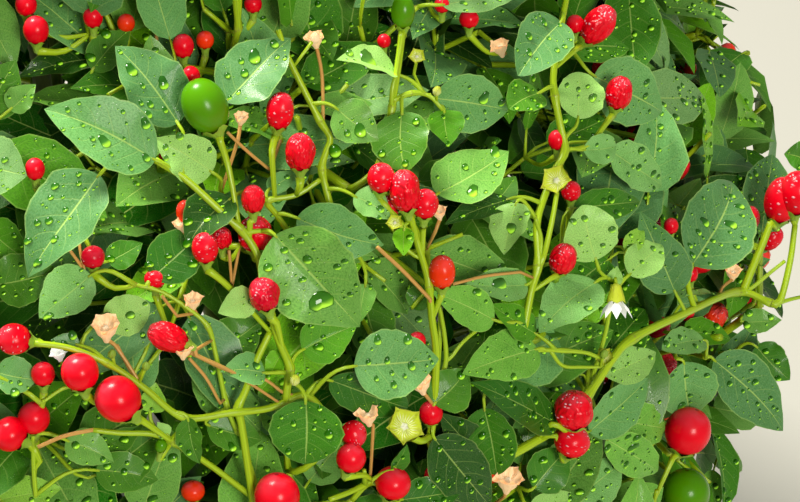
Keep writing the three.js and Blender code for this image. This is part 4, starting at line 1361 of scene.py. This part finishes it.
grown_rows = []
candidates = []
for shoot in shoots:
    for index, (node, along) in enumerate(zip(shoot["nodes"][1:], shoot["headings"])):
        draw = numbers_from(seed_of(shoot["seed"], GROWN_LEAF_CHILD + index))
        last = index == len(shoot["headings"]) - 1
        outward = unit(node - HEART)
        for k in range(LEAVES_PER_NODE + last):
            lean = LEAF_ANGLE - END_LEAF_RISE * (k == LEAVES_PER_NODE)
            turn = GOLDEN_TURN * index + LEAF_TURN * k + LEAF_TURN_JITTER * draw()
            side = leaning(along, lean, turn)
            side = unit(side + LEAF_SLOPE * outward)
            tilt = np.array([draw(), draw(), draw()]) - 0.5
            face = UP + FACE_OUTWARD * outward + FACE_TILT * tilt
            length = between(LEAF_LENGTH, draw())
            width = length * between(LEAF_SLENDERNESS, draw())
            stalk = between(LEAFSTALK, draw())
            droop = unit(side - (LEAF_DROOP + LEAF_DROOP_RANGE * draw()) * UP)
            base = node + stalk * unit(side + 0.2 * UP)
            # Leaves deep in the crown take the darker kinds: painted shade.
            shaded = share_of_reach(base + 0.5 * length * droop) < SHADED_SHARE
            kinds = SHADED_KINDS if shaded else COMMON_KINDS
            kind = kinds[int(draw() * len(kinds))]
            candidates.append((shoot["mass"], node, base, base + length * droop, face, width, draw(), kind))

for base, tip, *_ in front_rows:
    room_for((base + tip) / 2, LEAST_SPACING)
for mass, node, base, tip, face, width, phase, kind in candidates:
    blade = np.array([base, (base + tip) / 2, tip])
    past = np.maximum(box_low - tip, tip - box_high).max()
    if share_of_reach(tip) > 1.0 or past > PAST_SOLIDS or tip[2] < CROWN_FOOT:
        continue
    if not clear_of_limbs(blade, 0).all() or hides_view(blade).any() or not room_for(blade[1], LEAST_SPACING):
        continue
    grown_rows.append((base, tip, face, width, phase, kind, between(GROWN_TIP, phase)))
    add_leafstalk(node, base, unit(tip - base), LEAFSTALK_RADIUS, FAR_STALK_SIDES, FAR_STALK_RINGS)
piece_of("leafstalks", stalk_heap, shoot_finish, [])

# The finish has a cell for each of the sixteen kinds. Along a cell it runs from the blade's foot to its tip.
leaf_finish = Finish("leaf", Specular_IOR_Level=0.16, Coat_Roughness=0.12, Coat_IOR=1.33)
place, across_all, along_all = leaf_finish.cells()
number = math.floor(across_all) + math.floor(along_all) * CELLS
across = ((across_all % 1) - 0.5) * (2 / (1 - 2 * CELL_MARGIN))
along = ((along_all % 1) - CELL_MARGIN) * (1 / (1 - 2 * CELL_MARGIN))
base_colour = leaf_finish.one_of(number, [colour for colour, _, _ in LEAF_KINDS])
trait = leaf_finish.one_of(number, [(paler, gloss, 0) for _, paler, gloss in LEAF_KINDS])
vein_share, gloss = (leaf_finish.make("SeparateXYZ", (), {0: trait}, part) for part in (0, 1))
off_midrib = abs(across)
midrib = 1 - off_midrib.eased(0.006, 0.04)
side_phase = (along - 0.26 * off_midrib**1.3 + (across > 0) * 0.07) * 6.3
side_vein = (abs((side_phase % 1) - 0.5)).eased(0.43, 0.5) * (1 - off_midrib.eased(0.45, 0.95))
net = leaf_finish.make("TexVoronoi", {"feature": "DISTANCE_TO_EDGE"}, {"Vector": place, "Scale": 150})
net_line = 1 - net.eased(0.0, 0.16)
rim = off_midrib.eased(0.94, 0.99)
cloud = leaf_finish.noise(place, 10, 4)
grain = leaf_finish.noise(place, 210, 3)
pale = leaf_finish.make("VectorMath", {"operation": "MULTIPLY"}, {0: base_colour, 1: (1.5, 1.25, 1.7)})
mottled = leaf_finish.mix(cloud.eased(0.4, 0.75) * 0.3, base_colour, pale)
deep_share = (1 - grain.eased(0.35, 0.6)) * 0.4 + (1 - cloud.eased(0.2, 0.5)) * 0.25
deep = leaf_finish.mix(deep_share, mottled, (0.02, 0.12, 0.008))
lines = midrib * 0.95 + side_vein * 0.28 + net_line * 0.1 + rim * 0.5
veined = leaf_finish.mix(lines * vein_share, deep, (0.62, 0.85, 0.2))
bead = leaf_finish.make("TexVoronoi", (), {"Vector": place, "Scale": 130, "Randomness": 1})
wet = leaf_finish.noise(place, 22, 2).eased(0.5, 0.6)
beads = (1 - bead.eased(0.1, 0.28)) * wet
# Paler specks where water beads stand: painted glints of the beads.
with_painted_bead_glints = leaf_finish.mix(beads * 0.22, veined, (0.6, 0.85, 0.45))
leaf_finish.set(Base_Color=with_painted_bead_glints, Roughness=0.52 - gloss * 0.15, Coat_Weight=gloss * 0.45 + beads * 0.8)
leaf_finish.bump(net * 0.35 - midrib * 0.6 - side_vein * 0.3 + beads * 0.8 + grain * 0.25, 0.0002, 0.6)

blades = Blades(front_rows + grown_rows)
front_heap = Heap()
add_blades(front_heap, blades, np.arange(len(front_rows)), *FRONT_GRID)
piece_of("leaves_in_front", front_heap, leaf_finish, [mass["name"] for mass in masses])
grown = np.arange(len(front_rows), len(blades.width))
for i, share in enumerate(np.array_split(grown, LEAF_PIECES)):
    leaf_heap = Heap()
    add_blades(leaf_heap, blades, share, *GROWN_GRID)
    piece_of(f"leaves_{i + 1}", leaf_heap, leaf_finish, [])


# Water. The plant is wet from rain: beads stand all over the leaves and a few have run together into pools.
# Each takes the colour of its leaf, with painted shade where the light enters it, painted light that glows a
# little where it gathers on the far side, and a dark rim of painted shade.
SKY_LIGHT = unit(np.array([-0.3, 0.25, 0.8]))
DROP_GAP = 1.15
DROP_SIZE = (0.22, 1.25)
DROPS_PER_AREA = 0.1
SPARSE_DROPS_PER_AREA = 0.0045
MOST_BEHIND = 30
WATER_SEED = 5
SIZE_SKEW = 2.4
DROP_ACROSS, FIRST_DROP, DROP_SPAN = 0.85, 0.06, 0.86
POOL_HEIGHT, POOL_OVAL = 0.3, 0.22
DROP_SUNK = 0.04
OVAL_TURN = 40
# A row gives the number of a leaf in front, the place across and along it, and the pool's radius in mm.
POOLS = (
    (22, 0.28, 0.62, 2.6), (4, 0.1, 0.5, 2.4), (5, 0.1, 0.6, 1.7), (35, 0.1, 0.45, 2.0),
    (33, -0.1, 0.5, 1.6), (0, -0.3, 0.45, 1.5), (20, 0.1, 0.93, 1.3), (44, 0.3, 0.5, 1.7),
    (44, -0.35, 0.35, 1.5), (44, 0.45, 0.72, 1.4), (9, -0.6, 0.85, 1.5), (9, 0.55, 0.3, 1.7),
    (8, -0.3, 0.6, 1.6), (3, -0.35, 0.55, 1.7), (1, 0.3, 0.4, 1.4), (1, -0.3, 0.7, 1.5),
    (27, 0.2, 0.4, 1.6), (69, -0.3, 0.35, 1.6),
)
LARGE_DROP = 0.5
LARGE_SIDES, LARGE_RINGS = 11, 3
SMALL_SIDES, SMALL_RINGS = 6, 2
FRAME_NUDGE = 0.02
OUTER_SHARE = 0.86
HANGING_PIXEL = (333, 150, -4)
HANGING_RADIUS, HANGING_SIDES, HANGING_RINGS = 1.6, 16, 6
HANGING_OUT, HANGING_NEAR = 1.9, 0.4
HANGING_OVAL, HANGING_KIND = 0.05, 3


def add_drops(heap, points, normals, radii, heights, ovals, kinds, sides, rings):
    """Adds domes of water on points of leaves of some kinds, with the surface's normals there."""
    # Each dome's map is turned towards the sky light, so that its finish can paint shade and light on it.
    across = unit(SKY_LIGHT - normals * (normals @ SKY_LIGHT)[:, None])
    through = np.cross(normals, across)
    phi = angles_round(sides)
    turn = np.linspace(0, OVAL_TURN, len(points))[:, None]
    stretch = 1 + ovals[:, None] * np.cos(2 * phi + turn) + 0.5 * ovals[:, None] * np.cos(3 * phi + 2 * turn)
    cells = np.stack([kinds % CELLS, kinds // CELLS], 1)
    parts, spots = [], []
    for ring in range(rings + 1):
        rise = math.pi / 2 * ring / rings
        reach = radii[:, None] * math.cos(rise) * stretch
        aside = across[:, None] * (reach * np.cos(phi))[..., None]
        out = aside + through[:, None] * (reach * np.sin(phi))[..., None]
        height = heights * math.sin(rise) - DROP_SUNK
        part = points[:, None] + out + (normals * height[:, None])[:, None]
        spot = 0.5 + 0.5 * math.cos(rise) * np.stack([np.cos(phi), np.sin(phi)], 1)
        last = ring == rings
        parts.append(part[:, :1] if last else part)
        spots.append(spot[:1] if last else spot)
    corners = np.concatenate(parts, 1)
    spots = in_cell(np.concatenate(spots)[None], cells[:, None])
    quads = tube_faces(rings, sides)[0]
    foot = (rings - 1) * sides + np.arange(sides)
    fan = np.stack([foot, np.roll(foot, -1), np.full(sides, rings * sides)], 1)
    heap.add_many(corners, spots, quads, fan)


def blade_frame(which, u, v):
    """Points on blades and the normals there."""
    u, v = u[:, None], v[:, None]
    there = blades.at(which, u, v)[:, 0]
    du = blades.at(which, u + FRAME_NUDGE, v)[:, 0] - blades.at(which, u - FRAME_NUDGE, v)[:, 0]
    dv = blades.at(which, u, v + FRAME_NUDGE)[:, 0] - blades.at(which, u, v - FRAME_NUDGE)[:, 0]
    normals = unit(np.cross(du, dv))
    return there, normals * np.sign((normals * blades.face[which]).sum(1, keepdims=True))


def wetting(which, density, draw):
    """Where the beads stand on one leaf: across, along, radius, height and how uneven they are."""
    length, width, sharp = blades.length[which], blades.width[which], blades.sharp[which]
    pools = [(u, v, radius) for pool, u, v, radius in POOLS if pool == which]
    own = [(u, v, radius, POOL_HEIGHT * radius, POOL_OVAL) for u, v, radius in pools]
    placed = [(u * width / 2 * outline(v, sharp), v * length, radius) for u, v, radius in pools]
    for _ in range(int(length * width * density * (0.6 + 0.8 * draw()) + draw())):
        u, v = 2 * DROP_ACROSS * draw() - DROP_ACROSS, FIRST_DROP + DROP_SPAN * draw()
        radius = between(DROP_SIZE, draw() ** SIZE_SKEW)
        x, y = u * width / 2 * outline(v, sharp), v * length
        if all(math.hypot(px - x, py - y) > DROP_GAP * (radius + other) for px, py, other in placed):
            placed.append((x, y, radius))
            own.append((u, v, radius, radius * (0.6 - 0.14 * draw()), 0.04 + 0.2 * draw() * radius))
    return own


draw = numbers_from(WATER_SEED)
middles = (blades.base + blades.tip) / 2
x_seen, y_seen, near_seen = in_picture(middles)
in_frame = (x_seen > 0) & (x_seen < PICTURE_WIDTH) & (y_seen > 0) & (y_seen < PICTURE_HEIGHT)
in_front = np.arange(len(middles)) < len(front_rows)
seen_first = in_front | (in_frame & (near_seen > -MOST_BEHIND))
outer = share_of_reach(middles) > OUTER_SHARE
drop_heaps = []
for wanted, density in ((seen_first, DROPS_PER_AREA), (outer & ~seen_first, SPARSE_DROPS_PER_AREA)):
    heap = Heap()
    leaves = np.flatnonzero(wanted)
    beads_there = [(leaf, *bead) for leaf in leaves for bead in wetting(leaf, density, draw)]
    which = np.array([bead[0] for bead in beads_there])
    u, v, radii, heights, ovals = np.array([bead[1:] for bead in beads_there]).T
    points, normals = blade_frame(which, u, v)
    large = (radii > LARGE_DROP) & seen_first[which]
    for chosen, sides, rings in ((large, LARGE_SIDES, LARGE_RINGS), (~large, SMALL_SIDES, SMALL_RINGS)):
        if chosen.any():
            rows = [value[chosen] for value in (points, normals, radii, heights, ovals, blades.kind[which])]
            add_drops(heap, *rows, sides, rings)
    drop_heaps.append(heap)
hanging_side = at_pixel(*HANGING_PIXEL)
hanging_perch = nearest(front_perches, hanging_side)
away = hanging_side - hanging_perch
hanging = hanging_perch + HANGING_OUT * unit(away - nearer * (away @ nearer)) + HANGING_NEAR * nearer
round_drop = [np.array([value]) for value in (HANGING_RADIUS, HANGING_RADIUS, HANGING_OVAL, HANGING_KIND)]
for facing in (nearer, -nearer):
    add_drops(drop_heaps[0], hanging[None], facing[None], *round_drop, HANGING_SIDES, HANGING_RINGS)

water_finish = Finish("water", Roughness=0.03, IOR=1.333, Specular_IOR_Level=0.6, Emission_Strength=1.0)
place, across_all, along_all = water_finish.cells()
number = math.floor(across_all) + math.floor(along_all) * CELLS
to_light = ((across_all % 1) - 0.5) * (2 / (1 - 2 * CELL_MARGIN))
beside = ((along_all % 1) - 0.5) * (2 / (1 - 2 * CELL_MARGIN))
off_top = (to_light * to_light + beside * beside) ** 0.5
leaf_colour = water_finish.one_of(number, [colour for colour, _, _ in LEAF_KINDS])
deep_green = water_finish.mix(0.75, leaf_colour, (0.02, 0.16, 0.0))
# Painted shade on the side of each drop that faces the light.
shaded = water_finish.mix(to_light.eased(-0.3, 0.7) * 0.62, deep_green, (0.006, 0.05, 0.0))
# Painted light where it gathers on the far side, fed to the emission as well.
gathered = (1 - to_light).eased(1.0, 1.65) * (1 - off_top.eased(0.72, 0.95))
lit = water_finish.mix(gathered * 0.85, shaded, (0.5, 0.9, 0.06))
# A dark rim of painted shade round each drop.
rimmed = water_finish.mix(off_top.eased(0.84, 1.0) * 0.7, lit, (0.01, 0.07, 0.0))
painted_glow = water_finish.mix(gathered, (0.0, 0.0, 0.0), (0.14, 0.34, 0.01))
water_finish.set(Base_Color=rimmed, Emission_Color=painted_glow)
for i, heap in enumerate(drop_heaps):
    piece_of(f"water_drops_{i + 1}", heap, water_finish, [])


# Floor, light and background: a plain pale floor under soft light from all round, as on a dull day.
FLOOR_HALF = 6
floor_finish = Finish("floor", Base_Color=(0.42, 0.41, 0.38), Roughness=0.9)
floor_mesh = bpy.data.meshes.new("floor")
floor_corners = [(x * FLOOR_HALF, y * FLOOR_HALF, 0) for x, y in ((-1, -1), (1, -1), (1, 1), (-1, 1))]
floor_mesh.from_pydata(floor_corners, [], [(0, 1, 2, 3)])
floor_mesh.materials.append(floor_finish.material)
floor = bpy.data.objects.new("floor", floor_mesh)
bpy.context.scene.collection.objects.link(floor)


def add_light(name, place, target, size, power, colour):
    lamp = bpy.data.lights.new(name, "AREA")
    lamp.size, lamp.energy, lamp.color = size, power, colour
    light = bpy.data.objects.new(name, lamp)
    light.location = place
    light.rotation_euler = (Vector(target) - Vector(place)).to_track_quat("-Z", "Y").to_euler()
    bpy.context.scene.collection.objects.link(light)


add_light("sky_light", 1.7 * SKY_LIGHT + 0.2 * UP, (0, 0, 0.2), 0.6, 66, (1, 0.97, 0.86))
add_light("front_light", (0.7, -1.5, 1.1), (0, 0, 0.25), 0.5, 19, (1, 0.97, 0.88))
world = bpy.data.worlds.new("world")
bpy.context.scene.world = world
world.use_nodes = True
world.node_tree.nodes["Background"].inputs["Color"].default_value = (0.95, 1, 0.84, 1)
world.node_tree.nodes["Background"].inputs["Strength"].default_value = 0.27

bpy.context.scene.view_settings.view_transform = "Standard"
